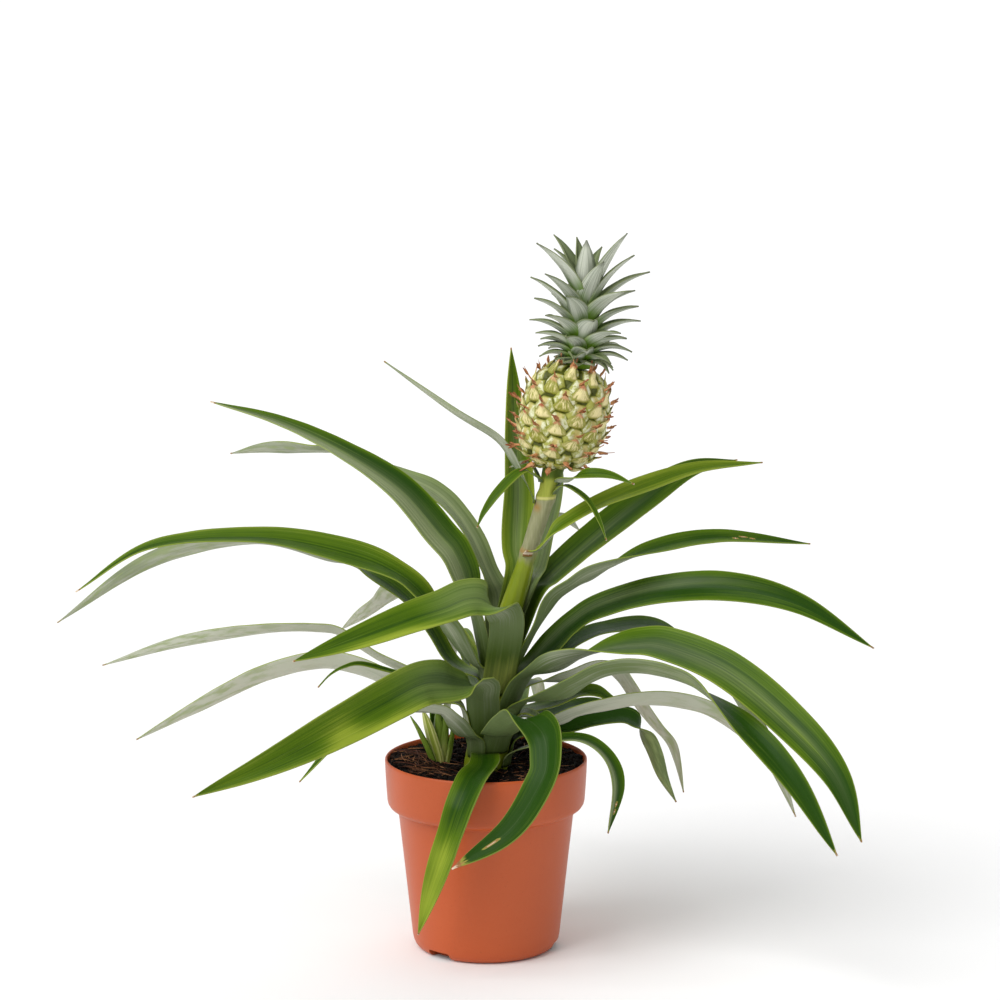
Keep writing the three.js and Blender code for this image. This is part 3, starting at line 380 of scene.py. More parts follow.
# From the lowest root to the highest. Root is the way that a leaf leaves the stem (0 is +X, 270 the front),
# the height there and how far up it clasps. Then it runs through its points: x, y, z and the blade's roll.
leaves = {
    "leaf_01": {"root": (262, 111, 10), "width": 20, "taper": 4, "curl": 0.45, "points": [
        (-1, -40, 122, 4), (-8, -63, 119, -2), (-15, -75, 106, -2), (-21, -76, 88, 2),
        (-30, -75, 60, -10), (-39, -72, 28, -10)]},
    "leaf_02": {"root": (332, 111, 9), "width": 12, "taper": 4, "curl": 0.45, "points": [
        (39, -24, 132, 20), (58, -35, 135, 6), (72, -44, 126, 2), (77, -48, 109, 26), (71, -50, 82, 26)]},
    "leaf_03": {"root": (106, 111, 14), "width": 18, "points": [
        (0, 44, 124, -44), (0, 90, 132, 58), (1, 130, 123, -56), (1, 165, 90, 54), (0, 180, 49, 54)]},
    "leaf_04": {"root": (238, 117, 12), "width": 15, "points": [
        (-12, -21, 134, 46), (-20, -27, 146, 26), (-28, -28, 151, 32), (-50, -28, 151, 34),
        (-79, -30, 140, -12), (-109, -32, 108, -12)]},
    "leaf_05": {"root": (8, 117, 11), "width": 18, "points": [
        (44, 5, 132, 16), (62, 6, 137, 18), (80, 8, 139, 24), (90, 9, 135, 28), (96, 10, 126, -32),
        (101, 10, 115, -48), (106, 11, 100, -64), (114, 12, 84, -64)]},
    "leaf_06": {"root": (84, 117, 16), "width": 16, "points": [
        (16, 44, 132, -12), (21, 90, 138, -20), (30, 135, 132, 24), (36, 180, 96, 34),
        (39, 196, 56, 34)]},
    "leaf_07": {"root": (284, 120, 14), "width": 21, "taper": 5, "curl": 0.45, "points": [
        (6, -28, 136, -12), (14, -42, 147, -8), (23, -58, 155, 0), (32, -74, 150, 8), (34, -84, 139, 14),
        (31, -92, 125, 16), (13, -96, 97, 10), (-19, -95, 74, 0)]},
    "leaf_08": {"root": (55, 121, 14), "width": 11, "points": [
        (36, 44, 130, 22), (52, 65, 131, 26), (69, 84, 128, 48), (85, 100, 118, 88), (94, 107, 110, 88)]},
    "leaf_09": {"root": (186, 124, 24), "width": 22, "points": [
        (-36, -3, 150, 36), (-60, 0, 164, 42), (-80, 3, 171, 44), (-101, 7, 172, 40), (-135, 17, 161, 38),
        (-172, 28, 140, 42), (-212, 38, 116, 42)]},
    "leaf_10": {"root": (344, 128, 16), "width": 16, "taper": 4, "points": [
        (38, -9, 139, -38), (52, -11, 145, -34), (67, -12, 149, -40), (90, -15, 154, -42),
        (114, -15, 153, -48), (138, -12, 144, -46), (165, -8, 121, -56), (187, -3, 91, -56)]},
    "leaf_11": {"root": (244, 129, 27), "width": 27, "curl": 0.45, "blend": 14, "points": [
        (-4, -30, 167, 16), (-14, -34, 169, -36), (-26, -48, 172, -78), (-37, -60, 173, -68),
        (-53, -74, 168, -62), (-79, -95, 158, -62), (-118, -130, 145, -46), (-158, -165, 135, -46)]},
    "leaf_12": {"root": (36, 131, 8), "width": 16, "points": [
        (38, 24, 142, 2), (54, 34, 146, 4), (67, 44, 145, 36), (76, 50, 138, 52), (88, 58, 128, 52)]},
    "leaf_13": {"root": (316, 132, 18), "width": 18, "taper": 6, "points": [
        (41, -32, 161, -30), (54, -42, 171, -22), (70, -54, 181, -30), (88, -66, 185, -38),
        (106, -78, 184, -42), (122, -87, 178, -36), (147, -106, 159, 24), (172, -125, 132, 56),
        (194, -141, 95, 56)]},
    "leaf_14": {"root": (113, 133, 18), "width": 18, "points": [
        (-5, 42, 152, 28), (-14, 85, 167, 26), (-21, 130, 158, -46), (-25, 165, 117, -48),
        (-28, 180, 67, -48)]},
    "leaf_15": {"root": (38, 140, 16), "width": 15, "taper": 4, "points": [
        (49, 33, 157, -44), (64, 45, 159, -46), (77, 56, 156, -22), (86, 66, 145, -6), (95, 77, 129, -4),
        (105, 89, 113, -6), (115, 97, 100, -8), (120, 102, 85, -2), (124, 105, 65, -2)]},
    "leaf_16": {"root": (202, 142, 12), "width": 4, "curl": 0.4, "points": [
        (-16, -7, 157, -40), (-33, -14, 165, -32), (-53, -23, 172, -34), (-72, -32, 179, -72),
        (-82, -36, 178, -62), (-90, -39, 174, -50), (-97, -42, 167, -50)]},
    "leaf_17": {"root": (163, 143, 9), "width": 15, "points": [
        (-39, 15, 161, 36), (-61, 24, 169, 38), (-74, 29, 176, 40), (-87, 36, 183, 38),
        (-102, 44, 184, 30), (-138, 64, 179, 34), (-191, 96, 164, 60), (-243, 127, 142, 60)]},
    "leaf_18": {"root": (319, 144, 22), "width": 25, "taper": 6, "curl": 0.45, "cup": 1.1, "points": [
        (38, -23, 178, -26), (53, -35, 188, -10), (68, -45, 194, 12), (84, -57, 198, 28),
        (102, -68, 199, 32), (135, -88, 189, 36), (167, -107, 166, 44), (194, -125, 137, 58),
        (208, -135, 101, 58)]},
    "leaf_19": {"root": (38, 149, 14), "width": 18, "taper": 4, "points": [
        (35, 21, 168, 4), (53, 35, 179, 4), (75, 52, 183, 10), (110, 80, 177, 24), (143, 105, 147, 4),
        (168, 125, 110, -14), (186, 139, 70, -54), (199, 149, 37, -54)]},
    "leaf_20": {"root": (116, 151, 10), "width": 17, "taper": 4, "points": [
        (-4, 24, 166, 22), (-16, 44, 180, 20), (-36, 76, 193, 6), (-55, 104, 196, 42),
        (-67, 125, 184, 16), (-80, 145, 171, 30), (-94, 170, 156, 30)]},
    "leaf_21": {"root": (267, 155, 42), "width": 24, "curl": 0.4, "blend": 14, "points": [
        (10, -28, 209, 20), (1, -35, 218, -58), (-10, -41, 220, -54), (-24, -47, 216, -44),
        (-43, -54, 211, -44), (-71, -64, 202, -48), (-109, -76, 190, -48)]},
    "leaf_22": {"root": (171, 156, 8), "width": 20, "points": [
        (-15, 6, 168, -8), (-22, 8, 175, -10), (-31, 11, 190, -10), (-44, 16, 207, -6),
        (-66, 24, 222, -8), (-93, 33, 232, 46), (-143, 52, 238, 38), (-206, 78, 219, 50),
        (-268, 106, 174, 50)]},
    "leaf_23": {"root": (24, 158, 8), "width": 23, "points": [
        (28, 8, 171, 16), (39, 10, 183, 22), (51, 9, 195, 26), (67, 4, 206, 32), (102, -7, 218, 40),
        (142, -19, 222, 60), (182, -31, 214, 74), (224, -42, 190, 74)]},
    "leaf_24": {"root": (203, 161, 8), "width": 20, "points": [
        (-9, -8, 175, 22), (-15, -10, 187, 24), (-22, -12, 199, 28), (-34, -12, 215, -26),
        (-50, -10, 229, -26), (-79, -6, 240, -42), (-132, -5, 250, -24), (-197, 0, 243, -22),
        (-242, 4, 214, -22)]},
    "leaf_25": {"root": (202, 166, 34), "width": 25, "curl": 0.55, "points": [
        (-10, -4, 221, -52), (-17, -3, 239, -44), (-27, -1, 251, -36), (-50, 3, 277, -28),
        (-83, 10, 298, -18), (-121, 19, 314, -16), (-163, 28, 324, -16)]},
    "leaf_26": {"root": (338, 171, 22), "width": 16, "blend": 16, "points": [
        (38, -9, 212, -30), (50, -11, 222, -36), (64, -11, 230, -42), (96, -3, 242, 18),
        (138, 9, 247, 36), (193, 25, 239, 36)]},
    "leaf_27": {"root": (112, 175, 30), "width": 23, "curl": 0.45, "points": [
        (5, 18, 217, 36), (-1, 22, 232, 26), (-7, 29, 244, 16), (-16, 36, 256, 6), (-28, 43, 267, 0),
        (-45, 50, 275, -2), (-83, 76, 287, 28), (-103, 92, 286, 22), (-135, 117, 283, 60),
        (-161, 137, 276, 60)]},
    "leaf_28": {"root": (58, 181, 30), "width": 23, "curl": 0.45, "points": [
        (35, 27, 217, 0), (47, 41, 226, 10), (63, 55, 237, 18), (94, 80, 256, 38), (126, 102, 272, 66),
        (156, 117, 275, 66)]},
    "leaf_29": {"root": (91, 187, 30), "width": 15, "curl": 0.45, "points": [
        (17, 47, 216, -38), (25, 76, 229, -24), (37, 106, 236, -78), (49, 136, 235, -48),
        (59, 158, 223, -48)]},
    "leaf_30": {"root": (64, 193, 25), "width": 12, "points": [
        (32, 37, 224, -22), (37, 52, 242, -18), (42, 60, 259, 6), (45, 64, 271, 14), (46, 66, 280, 14)]},
    "leaf_31": {"root": (95, 199, 26), "width": 20, "points": [
        (18, 22, 239, -6), (20, 30, 271, 12), (18, 37, 306, 20), (15, 46, 354, 20)]},
    "stalk_leaf_1": {"root": (266, 237, 3), "width": 13, "cup": 0.9, "blend": 5, "neck": 0.42, "points": [
        (32, -13, 245, 72), (40, -12, 255, 70), (49, -9, 261, 34), (67, -3, 270, 24), (96, 9, 279, 50),
        (127, 22, 286, 46), (165, 38, 286, 46)]},
    "stalk_leaf_2": {"root": (186, 268, 5), "width": 5.5, "curl": 0.4, "points": [
        (18, -2, 291, 56), (7, -3, 307, 56), (-18, -4, 323, 58), (-59, -3, 352, 58)]},
    "bract_3": {"root": (310, 274, 2), "width": 4, "curl": 0.4, "points": [
        (47, -9, 280, 24), (59, -16, 273, 26), (66, -20, 261, 50), (70, -24, 250, 50)]},
    "bract_2": {"root": (330, 279, 2), "width": 8, "curl": 0.4, "points": [
        (44, -17, 284, -38), (57, -33, 291, 48), (71, -38, 291, 68), (85, -42, 286, 68)]},
    "bract_4": {"root": (150, 280, 2), "width": 4, "curl": 0.4, "points": [
        (25, 8, 291, 72), (14, 14, 287, 72)]},
    "bract_1": {"root": (205, 281, 2), "width": 7, "curl": 0.4, "points": [
        (21, -11, 289, -22), (8, -19, 279, -34), (-1, -24, 267, -50), (-5, -27, 258, -50)]},
}

# What light and age have done to single leaves. Tone above 0 is lighter. Bloom is the silver left on the
# upper face, together with a painted sheen where light falls on it: how much, the middle and width of its
# band across, and the share it is gone by. DryTip is the share of the blade that has dried. Marks are brown
# spots. Tone spots are lighter and darker ones; the darker ones at the root, below a share of 0, are painted
# shade. Each is a share along the blade, a place across from -1 to 1, a length and a width in mm, and for a
# tone spot what it adds to the tone.
plainAge = {"tone": 0, "dryTip": 0.012, "bloom": (0, 0, 2, 0.5), "marks": (), "toneAndShadeSpots": ()}
ages = {
    "leaf_01": {"tone": -0.1, "dryTip": 0.02,
                "toneAndShadeSpots": ((0.3, 0.3, 24, 8, -0.3), (0.66, -0.1, 15, 8, 0.6), (0.86, 0, 20, 6, 0.8))},
    "leaf_02": {"tone": -0.25, "bloom": (0.9, -0.7, 0.5, 2.5),
                "marks": ((0.85, 0.1, 0.9, 0.7), (0.89, 0.2, 0.9, 0.7))},
    "leaf_05": {"tone": -0.55},
    "leaf_07": {"tone": -0.42, "dryTip": 0.07, "marks": ((0.453, 0, 2.5, 0.7), (0.85, -0.1, 7, 0.8))},
    "leaf_08": {"tone": -0.3},
    "leaf_09": {"tone": 0.4},
    "leaf_10": {"tone": 0.3, "marks": ((0.69, -0.1, 1.6, 0.8),)},
    "leaf_11": {"tone": 0.1, "bloom": (0.3, 0, 1.2, 0.4),
                # the last spot, round the root, is painted shade
                "toneAndShadeSpots": ((0.53, 0.4, 15, 8, 0.65), (0.35, 1, 50, 3, 0.4), (0.16, -0.3, 26, 12, -0.2),
                          (-0.06, 0, 18, 20, -0.35))},
    "leaf_13": {"tone": -0.3},
    "leaf_15": {"tone": 0.15},
    "leaf_17": {"tone": 0.35},
    "leaf_18": {"tone": -0.05, "bloom": (0.35, -0.1, 0.4, 1.1),
                "toneAndShadeSpots": ((0.72, -0.1, 36, 1.2, 0.6), (0.35, -0.1, 30, 6, -0.3), (0.9, 0, 26, 12, -0.35))},
    "leaf_19": {"tone": -0.35, "marks": ((0.865, -0.6, 3.5, 1.0),), "toneAndShadeSpots": ((0.92, 0, 22, 9, 1.0),)},
    "leaf_20": {"tone": 0.3},
    "leaf_21": {"tone": 0.05, "bloom": (0.38, -0.2, 1.1, 0.5),
                # the last spot, round the root, is painted shade
                "toneAndShadeSpots": ((0.62, 0.85, 30, 4, 0.6), (-0.22, 0.2, 16, 14, 0.55), (-0.05, 0, 12, 20, -0.3))},
    "leaf_23": {"tone": -0.2, "bloom": (0.35, 0.4, 0.25, 0.8)},
    "leaf_25": {"bloom": (1.2, 0.5, 0.6, 2.5), "toneAndShadeSpots": ((0.4, -0.6, 60, 5, -0.3),)},
    "leaf_26": {"tone": -0.1,
                "marks": ((0.745, -0.3, 1.2, 0.7), (0.775, 0.1, 3, 0.5), (0.805, -0.2, 1.2, 0.6))},
    "leaf_27": {"bloom": (0.9, 0, 1.5, 0.75)},
    "leaf_28": {"tone": -0.1, "bloom": (0.3, 0, 0.25, 0.8)},
    "leaf_30": {"bloom": (0.6, 0, 1.5, 2.5)},
    "leaf_31": {"tone": 0.2, "bloom": (0.45, 0, 0.35, 1.0)},
    "stalk_leaf_1": {"tone": 0.3, "marks": ((0.0, 0, 4, 9),)},
}
leafLayers = ("across", "along", "run", "seed", "tone", "bloom", "dry")


def pathPoint(path, along):
    # a smooth curve through the path's points
    i = min(int(along), len(path) - 2)
    t = along - i
    b, c = path[i], path[i + 1]
    a = path[i - 1] if i > 0 else tuple(2 * v - w for v, w in zip(b, c))
    d = path[i + 2] if i + 2 < len(path) else tuple(2 * w - v for v, w in zip(b, c))
    return [0.5 * (2 * b[k] + (c[k] - a[k]) * t
                   + (2 * a[k] - 5 * b[k] + 4 * c[k] - d[k]) * t ** 2
                   + (3 * b[k] - a[k] - 3 * c[k] + d[k]) * t ** 3) for k in range(4)]


def sheathPoint(leaf, lift):
    turn, height = math.radians(leaf["root"][0]), leaf["root"][1] + lift
    x, radius = stemAt(height)
    out = radius + leaf["sheathStandOff"] + leaf["sheathSlope"] * lift
    return (x + out * math.cos(turn), out * math.sin(turn), height, 0)


def layLine(leaf):
    # the leaf's middle line in even rows, and how long its sheath and the whole of it are
    path = [sheathPoint(leaf, 0), sheathPoint(leaf, leaf["root"][2])] + leaf["points"]
    perPoint = 40
    fine = [pathPoint(path, i / perPoint) for i in range((len(path) - 1) * perPoint + 1)]
    places = [Vector(p[:3]) for p in fine]
    runs = [0.0]
    for before, here in zip(places, places[1:]):
        runs.append(runs[-1] + (here - before).length)
    leaf["sheath"], leaf["length"] = runs[perPoint], runs[-1]
    count = max(leaf["leastRows"], round(leaf["length"] / leaf["rowEvery"]))
    rows = []
    i = 1
    for number in range(count + 1):
        run = leaf["length"] * number / count
        while i < len(runs) - 1 and runs[i] < run:
            i += 1
        share = clamp((run - runs[i - 1]) / (runs[i] - runs[i - 1]))
        roll = math.radians(lerp(fine[i - 1][3], fine[i][3], share))
        rows.append({"place": places[i - 1].lerp(places[i], share), "roll": roll, "run": run})
    for number, row in enumerate(rows):
        before, after = rows[max(number - 1, 0)], rows[min(number + 1, count)]
        row["heading"] = (after["place"] - before["place"]).normalized()
    bladeStart = next(row for row in rows if row["run"] >= leaf["sheath"])
    tipWay = rows[-1]["place"] - bladeStart["place"]
    tipWay.z = 0
    leaf["ways"] = (polar(1, math.radians(leaf["root"][0])), tipWay.normalized())
    leaf["rows"] = rows


def bladeShare(leaf, run):
    return (run - leaf["sheath"]) / (leaf["length"] - leaf["sheath"])


def halfWidthAt(leaf, share):
    swell = lerp(leaf["neck"], 1, smooth(share, 0, leaf["fullWidthAt"]))
    blade = leaf["width"] / 2 * swell * (1 - share ** leaf["taper"])
    return max(blade, leaf["tipHalfWidth"])


def leafPoint(leaf, row, u):
    # the sheath lies round the stem, and opens into a blade with a channel and a fold along its middle
    place, heading, run = row["place"], row["heading"], row["run"]
    share = clamp(bladeShare(leaf, run))
    half = halfWidthAt(leaf, share)
    level = leaf["ways"][0].lerp(leaf["ways"][1], smooth(share, 0, leaf["turnsBy"]))
    level.z = 0
    side = up.cross(level.normalized())
    side = (side - heading * side.dot(heading)).normalized()
    face = heading.cross(side)
    edge = side * math.cos(row["roll"]) + face * math.sin(row["roll"])
    hollow = face * math.cos(row["roll"]) - side * math.sin(row["roll"])
    centre = stemAt(clamp(place.z, *stem["leafZone"]))[0]
    radius = math.hypot(place.x - centre, place.y)
    wrap = clamp(u * half / radius, -leaf["sheathWrap"], leaf["sheathWrap"])
    turn = math.atan2(place.y, place.x - centre) + wrap
    wrapped = Vector((centre + radius * math.cos(turn), radius * math.sin(turn), place.z))
    curl = lerp(leaf.get("cup", leaf["curl"]), leaf["curl"], smooth(share, 0, leaf["fullWidthAt"]))
    arc = curl * u
    crease = leaf["crease"] * half * bell(u, leaf["creaseWidth"])
    waves = noise.noise((run * 0.06, leaf["seed"] * 7.3, u * 0.8))
    ripple = leaf["ripple"] * waves * abs(u) ** 2 * min(half / 5, 1)
    lift = half * (math.cos(curl) - math.cos(arc)) / math.sin(curl) - crease + ripple
    opened = place + edge * (half * math.sin(arc) / math.sin(curl)) + hollow * lift
    return wrapped.lerp(opened, smooth(run, leaf["sheath"] * 0.8, leaf["sheath"] + leaf["blend"]))


def leafAge(leaf, age, share, run, u):
    # tone, with the darker spots at the root as painted shade, the silver with its painted sheen, and dryness
    # at one place on a leaf
    seed = leaf["seed"]
    half = halfWidthAt(leaf, clamp(share))
    blade = leaf["length"] - leaf["sheath"]

    def near(at, place, long, wide):
        return bell((share - at) * blade, long) * bell((u - place) * half, wide)

    tone = age["tone"]
    for *spot, amount in age["toneAndShadeSpots"]:
        tone += amount * near(*spot)
    dry = smooth(share + 0.02 * noise.noise((u * 3, share * 40, seed)), 1 - age["dryTip"], 1.0)
    for mark in age["marks"]:
        dry = max(dry, smooth(near(*mark) + 0.25 * noise.noise((u * 6, run * 0.5, seed)), 0.3, 0.8))
    bloom, middle, wide, fades = age["bloom"]
    return tone, bloom * bell(u - middle, wide) * (1 - smooth(share, fades * 0.5, fades)), dry


def makeLeaf(name, leaf, looks, slot):
    age = {**plainAge, **ages.get(name, {})}
    layLine(leaf)
    last = len(leaf["rows"]) - 1
    bm = unitGrid(leaf["columns"], last)
    layers = addLayers(bm, leafLayers)
    for vert in bm.verts:
        row = leaf["rows"][round(vert.co.y * last)]
        # the columns stand closer towards the edges
        u = -math.copysign(1 - (1 - abs(vert.co.x)) ** leaf["edgeCrowding"], vert.co.x)
        share = bladeShare(leaf, row["run"])
        values = (u, share, row["run"], leaf["seed"], *leafAge(leaf, age, share, row["run"], u))
        setLayers(vert, layers, values)
        vert.co = leafPoint(leaf, row, u) * mm
    thicken(addPiece("blade_" + name, bm, looks, slot, name), leaf["thickness"])


def leafPattern(look):
    # the lengthwise veins, the broad streaks and the clouds that all the blades share
    across, run, seed = look.attribute("across"), look.attribute("run"), look.attribute("seed")
    veins = look.noise(look.vector(across * 17, run * 0.008, seed * 3.1), 1.0, 4, 0.7)
    streaks = look.noise(look.vector(across * 6, run * 0.008, seed * 5.7), 1.0, 2, 0.5)
    clouds = look.noise(look.vector(across * 1.1, run * 0.02, seed * 1.9), 1.0, 2)
    return across, look.attribute("along"), veins, streaks, clouds


leafColours = {
    "deep": (0.016, 0.056, 0.002),
    "green": (0.078, 0.150, 0.004),
    "light": (0.275, 0.350, 0.030),
    "edge": (0.30, 0.36, 0.07),
    # the two base colours give the leaf bases their own green, and the darker one is painted shade of the
    # crowded heart
    "root": (0.058, 0.100, 0.008),
    "rootLight": (0.26, 0.30, 0.045),
    # the pale colour of the leaves' silver, which on the upper faces also stands for painted sheen
    "bloom": (0.38, 0.43, 0.24),
    "silver": (0.50, 0.52, 0.41),
    "silverGreen": (0.13, 0.18, 0.065),
    "wornGreen": (0.27, 0.34, 0.13),
    "yellowed": (0.30, 0.30, 0.05),
    "brown": ((0.42, 0.22, 0.09), (0.20, 0.08, 0.025)),
    "bleached": (0.76, 0.62, 0.46),
}


def dried(look, colour):
    # a dry spot yellows first, then browns and bleaches towards its middle
    dry = look.attribute("dry")
    brown = look.mix(look.noise(look.place(), 900, 2), *leafColours["brown"])
    colour = look.cover(colour, leafColours["yellowed"], dry, 0.02, 0.3)
    colour = look.cover(colour, brown, dry, 0.25, 0.55)
    return look.cover(colour, leafColours["bleached"], dry, 0.75, 0.95)


# the leaf bases' green, from the darker colour, which is painted shade, to the lighter one
def rootColourAndShade(look, streaks):
    light = look.step(look.attribute("tone") + streaks.sway(1.2), 0.0, 0.9)
    return look.mix(light, leafColours["root"], leafColours["rootLight"])


def leafUpperLook():
    look = Look("leafUpper")
    across, along, veins, streaks, clouds = leafPattern(look)
    rim = look.size(across)
    # paleness rises towards the margins as painted light on the channel's raised sides, and middle darkens
    # the fold as painted shade in the crease
    paleness = ((rim ** 2.2) * 0.40 + streaks.sway(0.5) + clouds.sway(0.6) + veins.sway(0.9)
                + look.attribute("tone") + 0.28)
    middle = look.step(rim, 0.10, 0.0) * 0.15
    colour = look.cover(leafColours["deep"], leafColours["green"], paleness - middle, 0.0, 0.55)
    colour = look.cover(colour, leafColours["light"], paleness, 0.45, 1.15)
    colour = look.cover(colour, leafColours["edge"], rim, 0.955, 0.99, 0.5)
    # the sheath turns to the base colour, darkened as painted shade
    colour = look.cover(colour, rootColourAndShade(look, streaks), along + streaks.sway(0.08), 0.03, -0.10, 0.9)
    # the pale vein lines and the bands of silver with painted sheen take the pale colour
    bloom = look.attribute("bloom") * (veins.sway(0.9) + streaks.sway(0.6) + 0.55)
    colour = look.mix(look.step(veins, 0.58, 0.75) * 0.12 + bloom, colour, leafColours["bloom"])
    return look.surface(Base_Color=dried(look, colour), Roughness=0.36 + streaks.sway(0.2),
                        Specular_IOR_Level=0.1, Normal=look.bump(veins, 0.35, 0.5))


def leafUnderLook():
    look = Look("leafUnder")
    across, along, veins, streaks, clouds = leafPattern(look)
    rim = look.size(across)
    fading = look.step(along, 0.28, 0.0) * 0.42
    bloom = (veins.sway(1.0) + streaks.sway(0.25) + clouds.sway(0.9) + 0.61 - (rim ** 3) * 0.12
             + look.attribute("tone") - fading)
    colour = look.cover(leafColours["silverGreen"], leafColours["silver"], bloom, 0.1, 0.9)
    place = look.vector(across * 2.2, look.attribute("run") * 0.07, look.attribute("seed") * 8.3)
    worn = look.step(look.noise(place, 1.0, 3) + veins.sway(0.4), 0.42, 0.66)
    colour = look.cover(colour, leafColours["wornGreen"], along, 0.25, 0.7, worn * 0.7)
    colour = look.cover(colour, leafColours["edge"], rim, 0.95, 0.99, 0.4)
    # the sheath turns to the base colour, darkened as painted shade
    colour = look.cover(colour, rootColourAndShade(look, streaks), along + streaks.sway(0.10), 0.02, -0.13, 0.95)
    return look.surface(Base_Color=dried(look, colour), Roughness=0.55 + streaks.sway(0.2),
                        Specular_IOR_Level=0.18, Normal=look.bump(veins, 0.35, 0.6))


def makeLeaves():
    looks = [leafUpperLook(), leafUnderLook()]
    for seed, (name, own) in enumerate(leaves.items(), 1):
        slot = "bract" if name.startswith("bract") else "leaf"
        makeLeaf(name, {**leafShape, **own, "seed": seed}, looks, slot)


makeStem()
print("stem made")
makeLeaves()
print("leaves made:", len(leaves))


# Pot

pot = {
    # radius and height in mm: up the outside, over the lip and down the inside
    "profile": [(0, 0), (36, 0), (37.2, 0.1), (39.6, 0.5), (41.4, 1.5), (42.6, 3), (43.4, 5), (44, 8),
                (46.6, 32), (49.3, 57), (52.1, 82), (52.5, 84), (53.8, 84.9), (56, 85.8), (57.4, 86.8),
                (58.3, 88.3), (58.7, 90), (59.2, 97), (59.7, 106), (60, 113), (59.95, 114.2), (59.6, 114.8),
                (59.2, 115), (58.8, 114.8), (58.4, 114), (58.2, 112), (57.8, 104), (57.3, 94), (57, 90),
                (56, 88.4), (51.6, 85.4), (50.5, 83), (47.6, 57), (42.3, 9), (41, 4.2), (39, 2.6),
                (37, 2.4), (0, 2.4)],
    "steps": 144,
    "notchTurns": (229, 349, 109),
    "notch": {"depth": 14, "width": 16, "height": 5, "out": 41, "rounding": 1.6},
    "sharpAngle": 40,
    "clay": ((0.47, 0.078, 0.016), (0.52, 0.098, 0.024)),
    "pale": (0.56, 0.14, 0.045),
    "dust": (0.24, 0.045, 0.014),
}


def potLook():
    look = Look("terracottaPlastic")
    place = look.place()
    fine = look.noise(place, 420, 3)
    colour = look.mix(look.noise(place, 14, 3), *pot["clay"])
    colour = look.mix(fine * 0.2, colour, pot["pale"])
    colour = look.cover(colour, pot["dust"], look.noise(place, 900, 2, 0.7), 0.64, 0.72, 0.3)
    return look.surface(Base_Color=colour, Roughness=0.40 + fine.sway(0.14), Specular_IOR_Level=0.35,
                        Normal=look.bump(look.noise(place, 160, 3), 0.25, 0.14))


def notchCutter():
    notch = pot["notch"]
    bm = bmesh.new()
    for turn in pot["notchTurns"]:
        made = bmesh.ops.create_cube(bm, size=1)["verts"]
        size = (notch["depth"] * mm, notch["width"] * mm, 2 * notch["height"] * mm)
        bmesh.ops.scale(bm, verts=made, vec=size)
        bmesh.ops.translate(bm, verts=made, vec=(notch["out"] * mm, 0, 0))
        bmesh.ops.rotate(bm, verts=made, cent=(0, 0, 0), matrix=Matrix.Rotation(math.radians(turn), 3, "Z"))
    bmesh.ops.bevel(bm, geom=bm.edges, offset=notch["rounding"] * mm, affect="EDGES", segments=3,
                    profile=0.5, material=-1)
    return addObject("notches", meshFrom("notches", bm))


def smoothByAngle(piece, angle):
    bm = bmesh.new()
    bm.from_mesh(piece.data)
    for edge in bm.edges:
        edge.smooth = edge.is_manifold and edge.calc_face_angle(0) < math.radians(angle)
    bm.to_mesh(piece.data)
    bm.free()


def makePot():
    bm = bmesh.new()
    ends = [bm.verts.new((r * mm, 0, z * mm)) for r, z in pot["profile"]]
    edges = [bm.edges.new(pair) for pair in zip(ends, ends[1:])]
    bmesh.ops.spin(bm, geom=ends + edges, cent=(0, 0, 0), axis=(0, 0, 1), angle=2 * math.pi,
                   steps=pot["steps"], use_merge=True)
    bmesh.ops.remove_doubles(bm, verts=bm.verts, dist=0.01 * mm)
    bmesh.ops.recalc_face_normals(bm, faces=bm.faces)
    piece = addPiece("nurseryPot", bm, [potLook()], "pot", "pot")
    cutter = notchCutter()
    cut = piece.modifiers.new("cut", "BOOLEAN")
    cut.operation = "DIFFERENCE"
    cut.solver = "EXACT"
    cut.object = cutter
    graph = bpy.context.evaluated_depsgraph_get()
    done = bpy.data.meshes.new_from_object(piece.evaluated_get(graph))
    piece.modifiers.remove(cut)
    piece.data = done
    bpy.data.objects.remove(cutter)
    smoothByAngle(piece, pot["sharpAngle"])


makePot()
print("pot made")


# Soil: a bed of crumbs with light fibres in it

soil = {
    "level": 109.5,
    "edgeRise": 4,  # from the stem out to the rim
    "heap": {"x": -42, "y": 2, "rise": 2.5, "spread": 15},
    "radius": 57.6,
    "foot": {"height": 95, "radius": 56.9},
    "segments": 96,
    "sideRings": 12,
    "edgeStep": 1.5,  # from the edge of the bed's top to its first ring, and then from ring to ring
    "ringStep": 3.1,
    "topRings": 17,
    "bedSink": 1.4,  # how far the bed lies under the soil's level
    "bedShade": 0.3,
    "crumbs": 2600,
    "crumbSizes": [0.5, 0.7, 0.7, 0.9, 1.1, 1.1, 1.5, 2.1],
    "crumbSink": 0.9,
    "crumbsFrom": 13.5,  # out from the middle, which is the stem's room
    "fibres": 300,
    "fibreLength": (4, 15),
    "fibreRadius": (0.09, 0.26),
    "fibresOnHeap": 0.45,  # the share of them that lies round the heap
    "fibreHeap": {"x": (-40, 9), "y": (-8, 16)},  # its middle and how far they spread
    "fibresBetween": (14, 53),  # how far out their middles may lie, and fibreReach their ends
    "fibreReach": 56.5,
    "seed": 7,
    "earth": ((0.0, (0.0015, 0.0008, 0.0005)), (0.45, (0.005, 0.0020, 0.0010)),
              (0.8, (0.036, 0.012, 0.0045)), (1.0, (0.150, 0.046, 0.014))),
    "coir": ((0.0, (0.020, 0.006, 0.002)), (0.6, (0.12, 0.030, 0.009)), (1.0, (0.44, 0.20, 0.08))),
}


